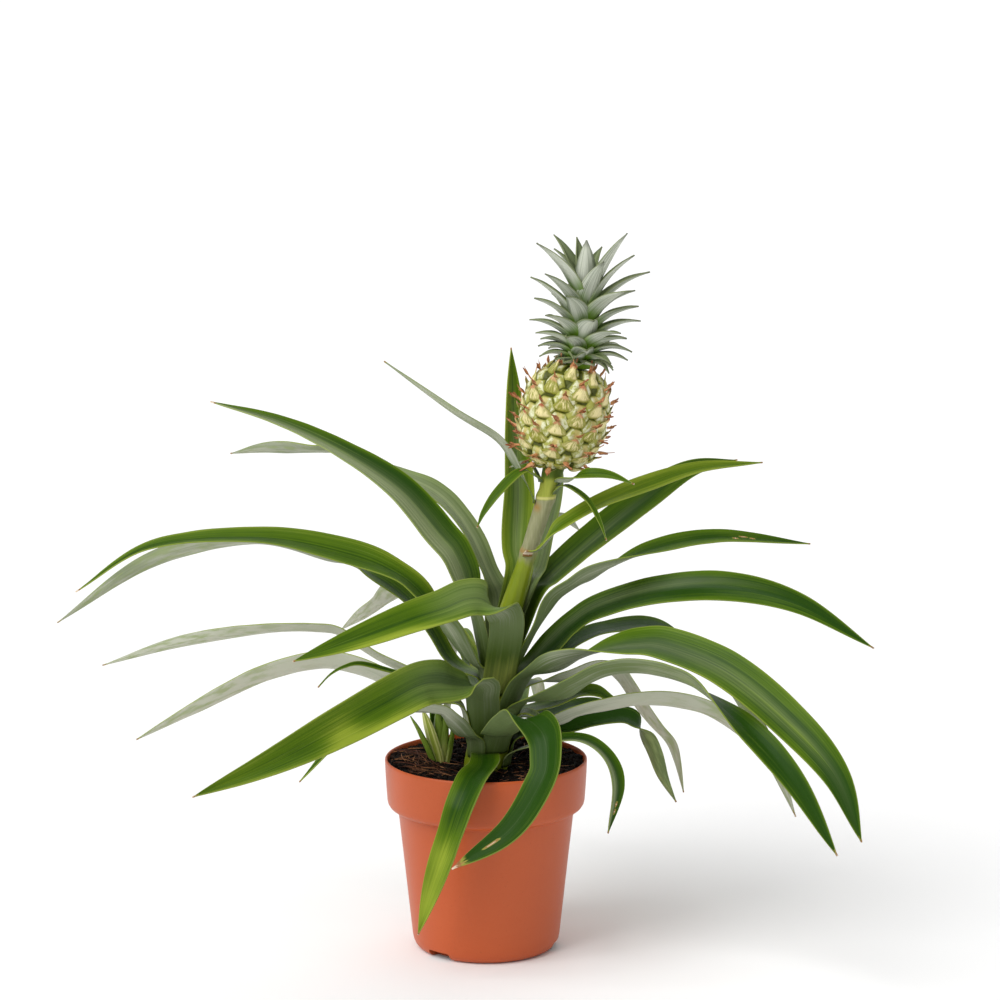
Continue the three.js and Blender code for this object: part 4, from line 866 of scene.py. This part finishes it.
def soilLevel(x, y):
    heap = soil["heap"]
    reach = math.hypot(x - heap["x"], y - heap["y"]) / heap["spread"]
    edge = soil["edgeRise"] * smooth(math.hypot(x, y), 20, 52)
    return soil["level"] + edge + heap["rise"] * math.exp(-reach ** 2)


def soilLook():
    look = Look("pottingMix")
    place = look.place()
    grain = look.noise(place, 700, 4, 0.65)
    amount = grain * 0.6 + look.attribute("shade") * 0.55 + look.noise(place, 90, 3).sway(0.5) - 0.17
    return look.surface(Base_Color=look.ramp(amount, *soil["earth"]), Roughness=0.9, Specular_IOR_Level=0.2,
                        Normal=look.bump(grain, 0.8, 0.8))


def fibreLook():
    look = Look("coirFibre")
    return look.surface(Base_Color=look.ramp(look.attribute("shade"), *soil["coir"]), Roughness=0.75)


def soilBed():
    bm = unitTube(soil["segments"], soil["sideRings"])
    top = soil["level"] + soil["edgeRise"] - 1.5
    for vert in bm.verts:
        radius = lerp(soil["foot"]["radius"], soil["radius"], vert.co.z)
        height = lerp(soil["foot"]["height"], top, vert.co.z)
        vert.co = polar(radius, math.atan2(vert.co.y, vert.co.x), height) * mm
    lid = max(bm.faces, key=lambda face: face.calc_center_median().z)
    bmesh.ops.inset_individual(bm, faces=[lid], thickness=soil["edgeStep"] * mm)
    for _ in range(soil["topRings"]):
        lid = max((f for f in bm.faces if len(f.verts) > 4), key=lambda face: face.calc_center_median().z)
        bmesh.ops.inset_individual(bm, faces=[lid], thickness=soil["ringStep"] * mm)
    for vert in bm.verts:
        x, y = vert.co.x / mm, vert.co.y / mm
        if vert.co.z > (top - 0.1) * mm and math.hypot(x, y) < soil["radius"] - 1:
            rough = noise.noise((x * 0.16, y * 0.16, 0)) * 1.6 + noise.noise((x * 0.5, y * 0.5, 3)) * 0.8
            vert.co.z = (soilLevel(x, y) - soil["bedSink"] + rough) * mm
    return bm


def spotOnSoil(draw, reach):
    away, turn = reach * math.sqrt(draw.random()), draw.uniform(0, 2 * math.pi)
    return away * math.cos(turn), away * math.sin(turn)


def makeSoil():
    draw = random.Random(soil["seed"])
    bm = soilBed()
    shade = addLayers(bm, ["shade"])[0]
    for vert in bm.verts:
        vert[shade] = soil["bedShade"]
    crumb = bmesh.new()
    bmesh.ops.create_icosphere(crumb, subdivisions=1, radius=1)
    crumbMesh = meshFrom("crumb", crumb)
    for _ in range(soil["crumbs"]):
        x, y = spotOnSoil(draw, soil["radius"] - 1.6)
        if math.hypot(x, y) < soil["crumbsFrom"]:
            continue
        size = draw.choice(soil["crumbSizes"])
        before = len(bm.verts)
        bm.from_mesh(crumbMesh)
        bm.verts.ensure_lookup_table()
        tint = draw.random() ** 1.5
        squash = Matrix.Diagonal((draw.uniform(0.7, 1.5), draw.uniform(0.7, 1.2), draw.uniform(0.5, 0.9)))
        spin = Matrix.Rotation(draw.uniform(0, 6.28), 3, "Z")
        spin @= Matrix.Rotation(draw.uniform(-0.6, 0.6), 3, "X")
        level = soilLevel(x, y) - soil["crumbSink"] + draw.uniform(-0.3, 0.5)
        for vert in bm.verts[before:]:
            lumps = 1 + 0.35 * noise.noise(vert.co * 1.7 + Vector((x, y, tint)))
            vert.co = (spin @ (squash @ (vert.co * size * lumps)) + Vector((x, y, level))) * mm
            vert[shade] = tint
    bpy.data.meshes.remove(crumbMesh)
    addPiece("soilBed", bm, [soilLook()], "soil", "soil", shade=False)


def addFibre(bm, draw, x, y):
    length, radius = draw.uniform(*soil["fibreLength"]), draw.uniform(*soil["fibreRadius"])
    tint, turn = draw.random(), draw.uniform(0, 6.28)
    lift, bow = draw.uniform(-0.05, 0.16), draw.uniform(-0.25, 0.25)
    rod = unitTube(5, 5)
    shade = addLayers(rod, ["shade"])[0]
    for vert in rod.verts:
        along = vert.co.z - 0.5
        thin = radius * (1 - 2.4 * along ** 2)
        angle = turn + bow * along * 2
        sideways = Vector((-math.sin(angle), math.cos(angle), 0))
        centre = Vector((x + math.cos(angle) * along * length, y + math.sin(angle) * along * length, 0))
        reach = math.hypot(centre.x, centre.y)
        if reach > soil["fibreReach"]:
            centre *= soil["fibreReach"] / reach
        rise = lift * (along + 0.5) - bow * bow * 0.3
        centre.z = soilLevel(centre.x, centre.y) + 0.3 + rise * length
        vert[shade] = tint
        vert.co = (centre + sideways * vert.co.x * thin + up * vert.co.y * thin) * mm
    joinInto(bm, rod)


def makeFibres():
    draw = random.Random(soil["seed"] + 1)
    bm = bmesh.new()
    addLayers(bm, ["shade"])
    heap = soil["fibreHeap"]
    nearest, farthest = soil["fibresBetween"]
    for _ in range(soil["fibres"]):
        if draw.random() < soil["fibresOnHeap"]:
            x, y = draw.gauss(*heap["x"]), draw.gauss(*heap["y"])
        else:
            x, y = spotOnSoil(draw, farthest + 1)
        if nearest < math.hypot(x, y) < farthest:
            addFibre(bm, draw, x, y)
    bmesh.ops.recalc_face_normals(bm, faces=bm.faces)
    addPiece("soilFibres", bm, [fibreLook()], "soil")


makeSoil()
makeFibres()
print("soil made")


# Fruit: a core with its eyes, each with a keeled bract and a withered flower

fruit = {
    "base": (39.2, 0, 291.5),
    "tilt": 12.5,
    "length": 59,
    "radius": 23.5,
    "squareness": 2.5,
    "endRadius": 9,
    "coreInside": 0.8,
    "eyes": 65,
    "eyeTurn": -48,  # degrees round the axis from one eye to the next, give or take turnDrift
    "turnDrift": 2.5,
    "firstTurn": 262,
    "sizeDrift": (0.94, 1.06),
    "leanDrift": 0.16,
    "seed": 11,
    "groove": (0.075, 0.088, 0.005),
    "olive": (0.26, 0.27, 0.022),
    "cheek": ((0.36, 0.37, 0.07), (0.76, 0.77, 0.52)),
    "middle": ((0.36, 0.33, 0.05), (0.78, 0.68, 0.30)),
    "straw": ((0.27, 0.27, 0.030), (0.82, 0.72, 0.36)),
    "rosy": ((0.66, 0.36, 0.19), (0.44, 0.13, 0.05)),
    "brown": ((0.70, 0.33, 0.13), (0.28, 0.07, 0.022)),
    "bleached": (0.80, 0.52, 0.36),
}

eye = {
    "halfWidth": 7.9,
    "halfHeight": 8.2,
    "squareness": 2.6,
    "rise": 4.4,  # from its border, which is sunk into the core
    "sunk": 1.9,
    "cheek": 0.9,
    "cheekOut": 2.9,  # from the middle
    "valley": 0.7,
    "bractFoot": -0.82,  # as a share of the half height, as is its length
    "bractLength": 1.08,
    "bractLift": 0.35,
    "keel": 0.7,
    "beak": 2.9,
    "bractThickness": 0.35,
    "strandLength": (8, 14),
    "strandWidth": (0.9, 1.7),
    "strandThickness": 0.22,
}
eyeLayers = ("eyeAcross", "eyeUp", "seed", "kind")
cushionKind, bractKind, witheredKind = 0, 1, 2


def fruitRadius(share):
    square = fruit["squareness"]
    return fruit["radius"] * (1 - min(abs(2 * share - 1), 1) ** square) ** (1 / square)


def fruitEnd():
    # the share at which the fruit is cut off flat
    square = fruit["squareness"]
    return 0.5 * (1 - (1 - (fruit["endRadius"] / fruit["radius"]) ** square) ** (1 / square))


def fruitFrame():
    turn = Matrix.Rotation(math.radians(fruit["tilt"]), 4, "Y")
    axis = turn @ up
    return Matrix.Translation(Vector(fruit["base"]) - axis * fruitEnd() * fruit["length"]) @ turn


def eyeShares():
    # heights that share the fruit's surface out evenly
    steps = 400
    area = [0.0]
    for step in range(1, steps + 1):
        now, before = fruitRadius(step / steps), fruitRadius((step - 1) / steps)
        area.append(area[-1] + (now + before) * math.hypot(fruit["length"] / steps, now - before))
    shares = []
    for number in range(fruit["eyes"]):
        wanted = area[-1] * (number + 0.5) / fruit["eyes"]
        shares.append(next(i for i, total in enumerate(area) if total >= wanted) / steps)
    return shares


def eyeFrame(share, turn):
    # x across the eye, y up the fruit and z out of it
    delta = 0.01
    slope = (fruitRadius(share + delta) - fruitRadius(share - delta)) / (2 * delta * fruit["length"])
    out = polar(1, turn)
    side = Vector((-math.sin(turn), math.cos(turn), 0))
    climb = (out * slope + up).normalized()
    normal = side.cross(climb).normalized()
    centre = out * fruitRadius(share)
    centre.z = share * fruit["length"]
    return Matrix.Translation(centre) @ Matrix((side, climb, normal)).transposed().to_4x4()


def cellReach(x, y):
    # 1 on the border of a rounded cell
    return (abs(x) ** eye["squareness"] + abs(y) ** eye["squareness"]) ** (1 / eye["squareness"])


def domeHeight(s, t, wide, tall):
    # a low cushion with a shallow valley between its two upper cheeks
    reach = cellReach(s / wide, t / tall)
    dome = eye["rise"] * (1 - min(reach, 1) ** 3) - eye["sunk"]
    cheeks = eye["cheek"] * bell(abs(s) - eye["cheekOut"], 1.3) * smooth(t, -1.5, 1.5) * (1 - reach)
    return dome + cheeks - eye["valley"] * smooth(t, -1.0, 2.5) * (1 - reach)


def addCushion(bm, matrix, wide, tall, seed):
    cushion = unitGrid(11, 11)
    layers = addLayers(cushion, eyeLayers)
    for vert in cushion.verts:
        x, y = vert.co.x, 2 * vert.co.y - 1
        # the sheet's square becomes a rounded cell
        stretch = max(abs(x), abs(y)) / max(cellReach(x, y), 1e-6)
        s, t = x * stretch * wide, y * stretch * tall
        lift = domeHeight(s, t, wide, tall) + 0.5 * noise.noise((s * 0.55, t * 0.55, seed * 50))
        lift += 0.3 * noise.noise((s * 1.6, t * 1.6, seed * 90))
        setLayers(vert, layers, (s / wide, t / tall, seed, cushionKind))
        vert.co = matrix @ Vector((s, t, lift))
    joinInto(bm, cushion)


def addEyeBract(bm, matrix, wide, tall, seed, draw):
    # it covers the eye's lower half and ends in a beak
    beak = draw.uniform(0.6, 1.25)
    lean = draw.uniform(-0.9, 0.9)
    bract = unitGrid(11, 11)
    layers = addLayers(bract, eyeLayers)
    for vert in bract.verts:
        u, v = -vert.co.x, vert.co.y
        ragged = 1 + 0.16 * noise.noise((u * 2.2, v * 5, seed * 30))
        half = wide * 0.98 * (1 - v) ** 0.8 * (0.72 + 0.28 * smooth(v, 0, 0.22)) * ragged + 0.2
        s = u * half + lean * v ** 3
        t = tall * (eye["bractFoot"] + eye["bractLength"] * v) + 0.9 * u * u * (1 - v)
        keel = eye["keel"] * bell(u, 0.3) * (1 - v * 0.5)
        lift = domeHeight(s * 0.92, min(t, 0.5), wide, tall) + eye["bractLift"] + keel
        rough = 0.6 * noise.noise((u * 3, v * 3, seed * 20)) * (1 - v)
        lift += eye["beak"] * beak * smooth(v, 0.5, 1.05) + rough
        setLayers(vert, layers, (u, v, seed, bractKind))
        vert.co = matrix @ Vector((s, t, lift))
    bmesh.ops.solidify(bract, geom=bract.faces, thickness=eye["bractThickness"])
    joinInto(bm, bract)


def addWithered(bm, matrix, tall, seed, draw):
    # the dry strips of the flower above the beak
    long = draw.uniform(0.55, 1.0)
    for strand in range(draw.choice((2, 2, 3, 3))):
        length = draw.uniform(*eye["strandLength"]) * long * (0.7 if strand else 1)
        wide = draw.uniform(*eye["strandWidth"])
        bow, sway = draw.uniform(-0.5, 1.0), draw.uniform(-0.9, 0.9)
        start = Vector((draw.uniform(-0.7, 0.7), tall * 0.26 + draw.uniform(-0.2, 0.8), 2.6))
        strip = unitGrid(2, 11)
        layers = addLayers(strip, eyeLayers)
        for vert in strip.verts:
            u, v = vert.co.x, vert.co.y
            half = wide * (1 - v ** 3) * (0.75 + 0.35 * math.sin(7 * v + seed * 9)) + 0.12
            drift = sway * length * 0.3 * v * v
            rise = length * (0.35 * v + 0.25 * bow * v * v)
            line = start + Vector((drift, rise, length * 0.8 * v))
            across = polar(1, sway * 3.2 * v)
            fold = 0.5 * (1 - abs(u)) * half
            setLayers(vert, layers, (u, v, seed, witheredKind))
            vert.co = matrix @ (line + across * u * half + Vector((-across.y, across.x, 0)) * fold)
        bmesh.ops.solidify(strip, geom=strip.faces, thickness=eye["strandThickness"])
        joinInto(bm, strip)


def fruitLook():
    look = Look("fruitRind")
    place = look.place()
    across, eyeUp = look.attribute("eyeAcross"), look.attribute("eyeUp")
    seed, kind = look.attribute("seed"), look.attribute("kind")
    grain = look.noise(place, 800, 3)
    patch = look.noise(place, 260, 3, 0.6)
    streak = look.noise(look.vector(across * 4.5, eyeUp * 2.2, seed * 40), 1.0, 4, 0.6)
    offMiddle = look.size(across)
    # 1 on the six borders with the neighbouring eyes
    rim = look.larger(look.size(eyeUp) * 1.20, offMiddle * 1.05 + look.size(eyeUp) * 0.64)
    # the cushion: whitish green cheeks, straw in the middle, olive borders
    cushion = look.cover(*fruit["cheek"], patch, 0.40, 0.60)
    middle = look.mix(patch, *fruit["middle"])
    cushion = look.cover(cushion, middle, offMiddle + grain.sway(0.3), 0.34, 0.10)
    cushion = look.cover(cushion, fruit["olive"], rim + patch.sway(0.3), 0.80, 0.95)
    cushion = look.cover(cushion, fruit["groove"], rim + grain.sway(0.1), 0.92, 1.0)
    # the bract: streaked straw with an olive foot and a rosy beak
    straw = look.cover(*fruit["straw"], streak + seed * 0.2 - 0.1, 0.34, 0.60)
    straw = look.cover(straw, fruit["olive"], offMiddle + patch.sway(0.8), 0.50, 0.90, 0.8)
    straw = look.cover(straw, fruit["olive"], eyeUp + patch.sway(0.2), 0.22, 0.04, 0.9)
    straw = look.cover(straw, look.mix(seed, *fruit["rosy"]), eyeUp + patch.sway(0.5), 0.70, 0.95)
    # the withered flower
    brown = look.mix(eyeUp + grain.sway(1.1), *fruit["brown"])
    brown = look.cover(brown, fruit["bleached"], streak, 0.5, 0.75, 0.7)
    skin = look.cover(cushion, straw, kind, 0.4, 0.6)
    skin = look.cover(skin, brown, kind, 1.4, 1.6)
    return look.surface(Base_Color=skin, Roughness=0.5 + grain.sway(0.2), Specular_IOR_Level=0.35,
                        Normal=look.bump(grain, 0.5, 0.6))


def fruitCore():
    bm = unitTube(64, 40)
    layers = addLayers(bm, eyeLayers)
    for vert in bm.verts:
        share = 0.5 - (0.5 - fruitEnd()) * math.cos(vert.co.z * math.pi)
        radius = (fruitRadius(share) - fruit["coreInside"]) * math.hypot(vert.co.x, vert.co.y)
        setLayers(vert, layers, (1, 1, 0, cushionKind))
        vert.co = polar(radius, math.atan2(vert.co.y, vert.co.x), share * fruit["length"])
    return bm


def makeFruit():
    draw = random.Random(fruit["seed"])
    bm = fruitCore()
    drift, lean = fruit["turnDrift"], fruit["leanDrift"]
    for number, share in enumerate(eyeShares()):
        turn = math.radians(fruit["firstTurn"] + number * fruit["eyeTurn"] + draw.uniform(-drift, drift))
        # the eyes are smaller towards the ends
        local = clamp(fruitRadius(share) / fruit["radius"], 0.5, 1)
        wide = eye["halfWidth"] * clamp(local * 1.1, 0, 1) * draw.uniform(*fruit["sizeDrift"])
        tall = eye["halfHeight"] * draw.uniform(*fruit["sizeDrift"]) * (0.9 + 0.1 * local)
        place = eyeFrame(clamp(share, 0.03, 0.97), turn)
        matrix = place @ Matrix.Rotation(draw.uniform(-lean, lean), 4, "Z")
        seed = draw.random()
        addCushion(bm, matrix, wide, tall, seed)
        addEyeBract(bm, matrix, wide, tall, seed, draw)
        addWithered(bm, matrix, tall, seed, draw)
    bmesh.ops.transform(bm, matrix=Matrix.Scale(mm, 4) @ fruitFrame(), verts=bm.verts)
    bmesh.ops.recalc_face_normals(bm, faces=bm.faces)
    addPiece("fruitBody", bm, [fruitLook()], "fruit", "fruit")


# Short blades, for the crown and the side shoot

shortBlade = {
    "columns": 8,
    "rows": 16,
    "fold": 0.6,
    "neck": 0.8,
    "taper": 2.2,
    "tone": 0,
    "tipHalfWidth": 0.2,
}
bladeLayers = ("across", "along", "run", "seed", "tone")


def addBlade(bm, matrix, blade, seed):
    # one channelled blade from root to tip, each x and z, whose middle stands bow off the straight line
    strip = unitGrid(blade["columns"], blade["rows"])
    layers = addLayers(strip, bladeLayers)
    root, tip = (Vector((x, 0, z)) for x, z in (blade["root"], blade["tip"]))
    chord = tip - root
    # share * (1 - share) is a quarter at the middle, so four times the bow gives the whole bow there
    arch = Vector((-chord.z, 0, chord.x)).normalized() * blade["bow"] * 4
    for vert in strip.verts:
        u, share = -vert.co.x, vert.co.y
        swell = lerp(blade["neck"], 1, smooth(share, 0, 0.35))
        half = max(blade["width"] / 2 * swell * (1 - share ** blade["taper"]), blade["tipHalfWidth"])
        heading = (chord + arch * (1 - 2 * share)).normalized()
        face = Vector((-heading.z, 0, heading.x))
        lift = blade["fold"] * half * (u * u - 0.35) + 0.3 * noise.noise((seed * 3.7, share * 4, u))
        setLayers(vert, layers, (u, share, share * chord.length, seed, blade["tone"]))
        spine = root + chord * share + arch * share * (1 - share)
        vert.co = matrix @ (spine + Vector((0, u * half, 0)) + face * lift)
    joinInto(bm, strip)


def makeBlades(name, place, blades, looks, slot, node, thickness):
    # a tuft round its place, from each blade's turn, seed and shape
    bm = bmesh.new()
    addLayers(bm, bladeLayers)
    for turn, seed, blade in blades:
        addBlade(bm, place @ Matrix.Rotation(math.radians(turn), 4, "Z"), {**shortBlade, **blade}, seed)
    bmesh.ops.scale(bm, verts=bm.verts, vec=(mm, mm, mm))
    thicken(addPiece(name, bm, looks, slot, node), thickness)


crown = {
    "root": (54.6, 0, 351.4),
    "tilt": 4,
    "foot": -3.5,
    "height": 42,
    "baseRadius": 8,
    "topRadius": 3,
    "rootDepth": 0.6,
    "thickness": 0.8,
    # turn, root's height, reach and height of the tip, width, bow
    "leaves": [
        (140, 37, 26, 71, 13, 3.5), (118, 39, 14, 71, 11, 1.5), (262, 34, 12, 71.5, 16, 2),
        (62, 38, 18, 66, 9.5, 4), (333, 33, 24, 77, 15.5, 2.5), (356, 28, 27, 64, 13, 4),
        (296, 26, 20, 60.5, 16, 4), (5, 25, 37, 54.5, 13, 5), (26, 22, 33, 42, 13, 4),
        (316, 19, 33, 45, 16, 5), (350, 16, 32, 35, 13, 4), (6, 12, 34, 25.5, 12, 4),
        (344, 7, 27, 16, 12, 3), (321, 8, 28, 20, 13, 3.5), (0, 4, 30, 7.5, 9.5, 4),
        (352, 1.5, 28, 3, 8.5, 3.5), (312, 1, 26, 2.5, 9.5, 3), (329, 0, 20, -4.5, 7, 3),
        (350, -0.5, 20, -3.5, 7, 3), (12, -0.5, 20, -3, 7, 3), (204, 34, 33, 68, 15.5, 4),
        (168, 37, 20, 64, 12, 3.5), (214, 26, 29, 51, 15, 3.5), (180, 22, 32, 47, 13, 3.5),
        (190, 18, 29.5, 35.5, 13, 3.5), (246, 17, 27, 40, 16, 5), (220, 12, 29, 27.5, 14.5, 3.5),
        (183, 10, 31, 22.5, 12, 4), (192, 7, 27.5, 15.5, 11, 3.5), (170, 6, 24, 11, 9.5, 3),
        (243, 5, 21, 15.5, 13, 3.5), (186, 3.5, 25, 7.5, 9.5, 3.5), (158, 3, 20, 5.5, 9.5, 3),
        (194, 1, 24.5, 2, 8.5, 3.5), (283, 9, 25, 27, 16, 5), (278, 1, 21, 9, 14.5, 3),
        (258, 0.5, 22, 4, 12, 3), (95, 32, 22, 66, 13, 3.5), (78, 26, 28, 53, 14.5, 3),
        (108, 24, 28, 50, 14.5, 3), (50, 19, 31, 38, 13, 3.5), (128, 16, 30, 36, 13, 3.5),
        (86, 14, 31, 32, 14.5, 3.5), (62, 8, 29, 20, 12, 3.5), (112, 8, 28, 20, 12, 3.5),
        (34, 4, 28, 9, 9.5, 3.5), (84, 3, 27, 9, 11, 3.5), (138, 2, 25, 6, 9.5, 3.5),
        (60, 0.5, 24, 2, 8.5, 3), (208, 0, 17, 1, 8.5, 1), (232, -0.5, 16, 0, 9.5, 1),
        (266, -0.5, 17, -0.5, 9.5, 1), (298, -0.5, 17, 0, 9.5, 1), (336, -0.5, 16, 0.5, 9.5, 1),
        (18, 0, 17, 1, 9.5, 1), (110, 0, 17, 1, 9.5, 1), (160, 0, 16, 1, 9.5, 1),
    ],
    "heart": ((0.12, 0.21, 0.02), (0.05, 0.11, 0.01)),  # here and below, bloomed and bare
    "upper": ((0.24, 0.29, 0.14), (0.034, 0.062, 0.012)),
    "under": ((0.68, 0.71, 0.60), (0.11, 0.15, 0.075)),
    "footGreen": (0.13, 0.26, 0.010),
    "tip": (0.055, 0.062, 0.035),
    "edge": (0.30, 0.34, 0.16),
}


def crownLook(name, bloomed, bare):
    look = Look(name)
    across, along, veins, streaks, clouds = leafPattern(look)
    rim = look.size(across)
    bloom = veins.sway(1.3) + streaks.sway(0.5) + clouds.sway(0.9) + 0.66 - (rim ** 3) * 0.3
    colour = look.cover(bare, bloomed, bloom, 0.1, 0.9)
    colour = look.cover(colour, crown["footGreen"], along + clouds.sway(0.3), 0.48, 0.14)
    colour = look.cover(colour, crown["tip"], along, 0.84, 1.0, 0.7)
    colour = look.cover(colour, crown["edge"], rim, 0.90, 0.99, 0.5)
    return look.surface(Base_Color=colour, Roughness=0.5 + streaks.sway(0.2), Specular_IOR_Level=0.3,
                        Normal=look.bump(veins, 0.3, 0.6))


def makeCrown():
    place = Matrix.Translation(crown["root"]) @ Matrix.Rotation(math.radians(crown["tilt"]), 4, "Y")
    bm = unitTube(24, 8)
    addLayers(bm, bladeLayers)
    for vert in bm.verts:
        radius = lerp(crown["baseRadius"], crown["topRadius"], vert.co.z)
        height = lerp(crown["foot"], crown["height"], vert.co.z)
        vert.co = Vector((vert.co.x * radius, vert.co.y * radius, height))
    bmesh.ops.transform(bm, matrix=Matrix.Scale(mm, 4) @ place, verts=bm.verts)
    addPiece("crownCore", bm, [crownLook("crownHeart", *crown["heart"])], "crown")
    blades = []
    for seed, (turn, height, reach, tip, width, bow) in enumerate(crown["leaves"], 1):
        core = lerp(crown["baseRadius"], crown["topRadius"], height / crown["height"])
        blade = {"root": (core * crown["rootDepth"], height), "tip": (reach, tip), "bow": bow, "width": width}
        blades.append((turn, seed, blade))
    looks = [crownLook("crownUpper", *crown["upper"]), crownLook("crownUnder", *crown["under"])]
    makeBlades("crownLeaves", place, blades, looks, "crown", "crown", crown["thickness"])


# Side shoot

shoot = {
    "place": (-27, 8, 0),
    # each blade's root and tip are a distance out from the shoot's middle and a height
    "blades": [
        {"turn": 217, "root": (3.5, 104), "tip": (22, 141), "bow": 1, "width": 6, "fold": 0.4, "tone": -0.5},
        {"turn": 213, "root": (1, 104), "tip": (12.5, 144), "bow": -0.5, "width": 10.5, "tone": 0.8},
        {"turn": 250, "root": (1, 105), "tip": (5.5, 144), "bow": -0.5, "width": 7},
        {"turn": 320, "root": (1, 104), "tip": (4.5, 142), "bow": -1, "width": 8, "tone": 0.1},
        {"turn": 352, "root": (3, 104), "tip": (8, 138), "bow": -1, "width": 6},
        {"turn": 140, "root": (1, 105), "tip": (8, 144), "bow": -0.5, "width": 7},
        {"turn": 75, "root": (1, 105), "tip": (7, 140), "bow": -0.5, "width": 8, "tone": 0.2},
    ],
    "shape": {"taper": 5, "neck": 0.85, "fold": 0.8},
    "firstSeed": 60,
    "thickness": 0.8,
    "cream": ((0.34, 0.42, 0.05), (0.80, 0.82, 0.32)),
    "upper": (0.09, 0.20, 0.006),
    "under": (0.19, 0.30, 0.03),
}


def shootLook(name, green):
    look = Look(name)
    _, along, veins, streaks, _ = leafPattern(look)
    cream = look.cover(*shoot["cream"], streaks, 0.35, 0.65)
    greening = along + streaks.sway(0.3) - look.attribute("tone")
    return look.surface(Base_Color=look.cover(cream, green, greening, 0.1, 0.6), Roughness=0.45,
                        Specular_IOR_Level=0.3, Normal=look.bump(veins, 0.3, 0.5))


def makeShoot():
    blades = []
    for seed, blade in enumerate(shoot["blades"], shoot["firstSeed"]):
        blades.append((blade["turn"], seed, {**shoot["shape"], **blade}))
    looks = [shootLook("shootUpper", shoot["upper"]), shootLook("shootUnder", shoot["under"])]
    place = Matrix.Translation(shoot["place"])
    makeBlades("shootBlades", place, blades, looks, "shoot", "side_shoot", shoot["thickness"])


makeFruit()
print("fruit made")
makeCrown()
print("crown made")
makeShoot()
print("side shoot made")


# Floor and lights

studio = {
    "floor": (0.97, 0.97, 0.97),
    "floorReach": 150,
    "sky": 0.5,
    "suns": {  # where the light comes from, its strength and how soft it is
        "key": {"from": (-1.5, -1.3, 2.0), "power": 2.25, "softness": 45},
        "fill": {"from": (1.4, -0.9, 1.2), "power": 0.04, "softness": 60},
        "back": {"from": (0.4, 1.5, 1.3), "power": 0.55, "softness": 50},
    },
}


def makeStudio():
    bm = bmesh.new()
    bmesh.ops.create_grid(bm, x_segments=1, y_segments=1, size=studio["floorReach"])
    mesh = meshFrom("floor", bm)
    look = Look("paleFloor")
    mesh.materials.append(look.surface(Base_Color=studio["floor"], Roughness=0.9, Specular_IOR_Level=0.0))
    addObject("floor", mesh)
    world = bpy.data.worlds.new("studio")
    world.use_nodes = True
    sky = world.node_tree.nodes["Background"]
    sky.inputs["Color"].default_value = (1, 1, 1, 1)
    sky.inputs["Strength"].default_value = studio["sky"]
    bpy.context.scene.world = world
    for name, values in studio["suns"].items():
        lamp = bpy.data.lights.new(name, "SUN")
        lamp.energy = values["power"]
        lamp.angle = math.radians(values["softness"])
        light = addObject(name, lamp)
        light.rotation_euler = (-Vector(values["from"])).to_track_quat("-Z", "Y").to_euler()
    bpy.context.scene.view_settings.view_transform = "Standard"


makeStudio()
print("studio made")
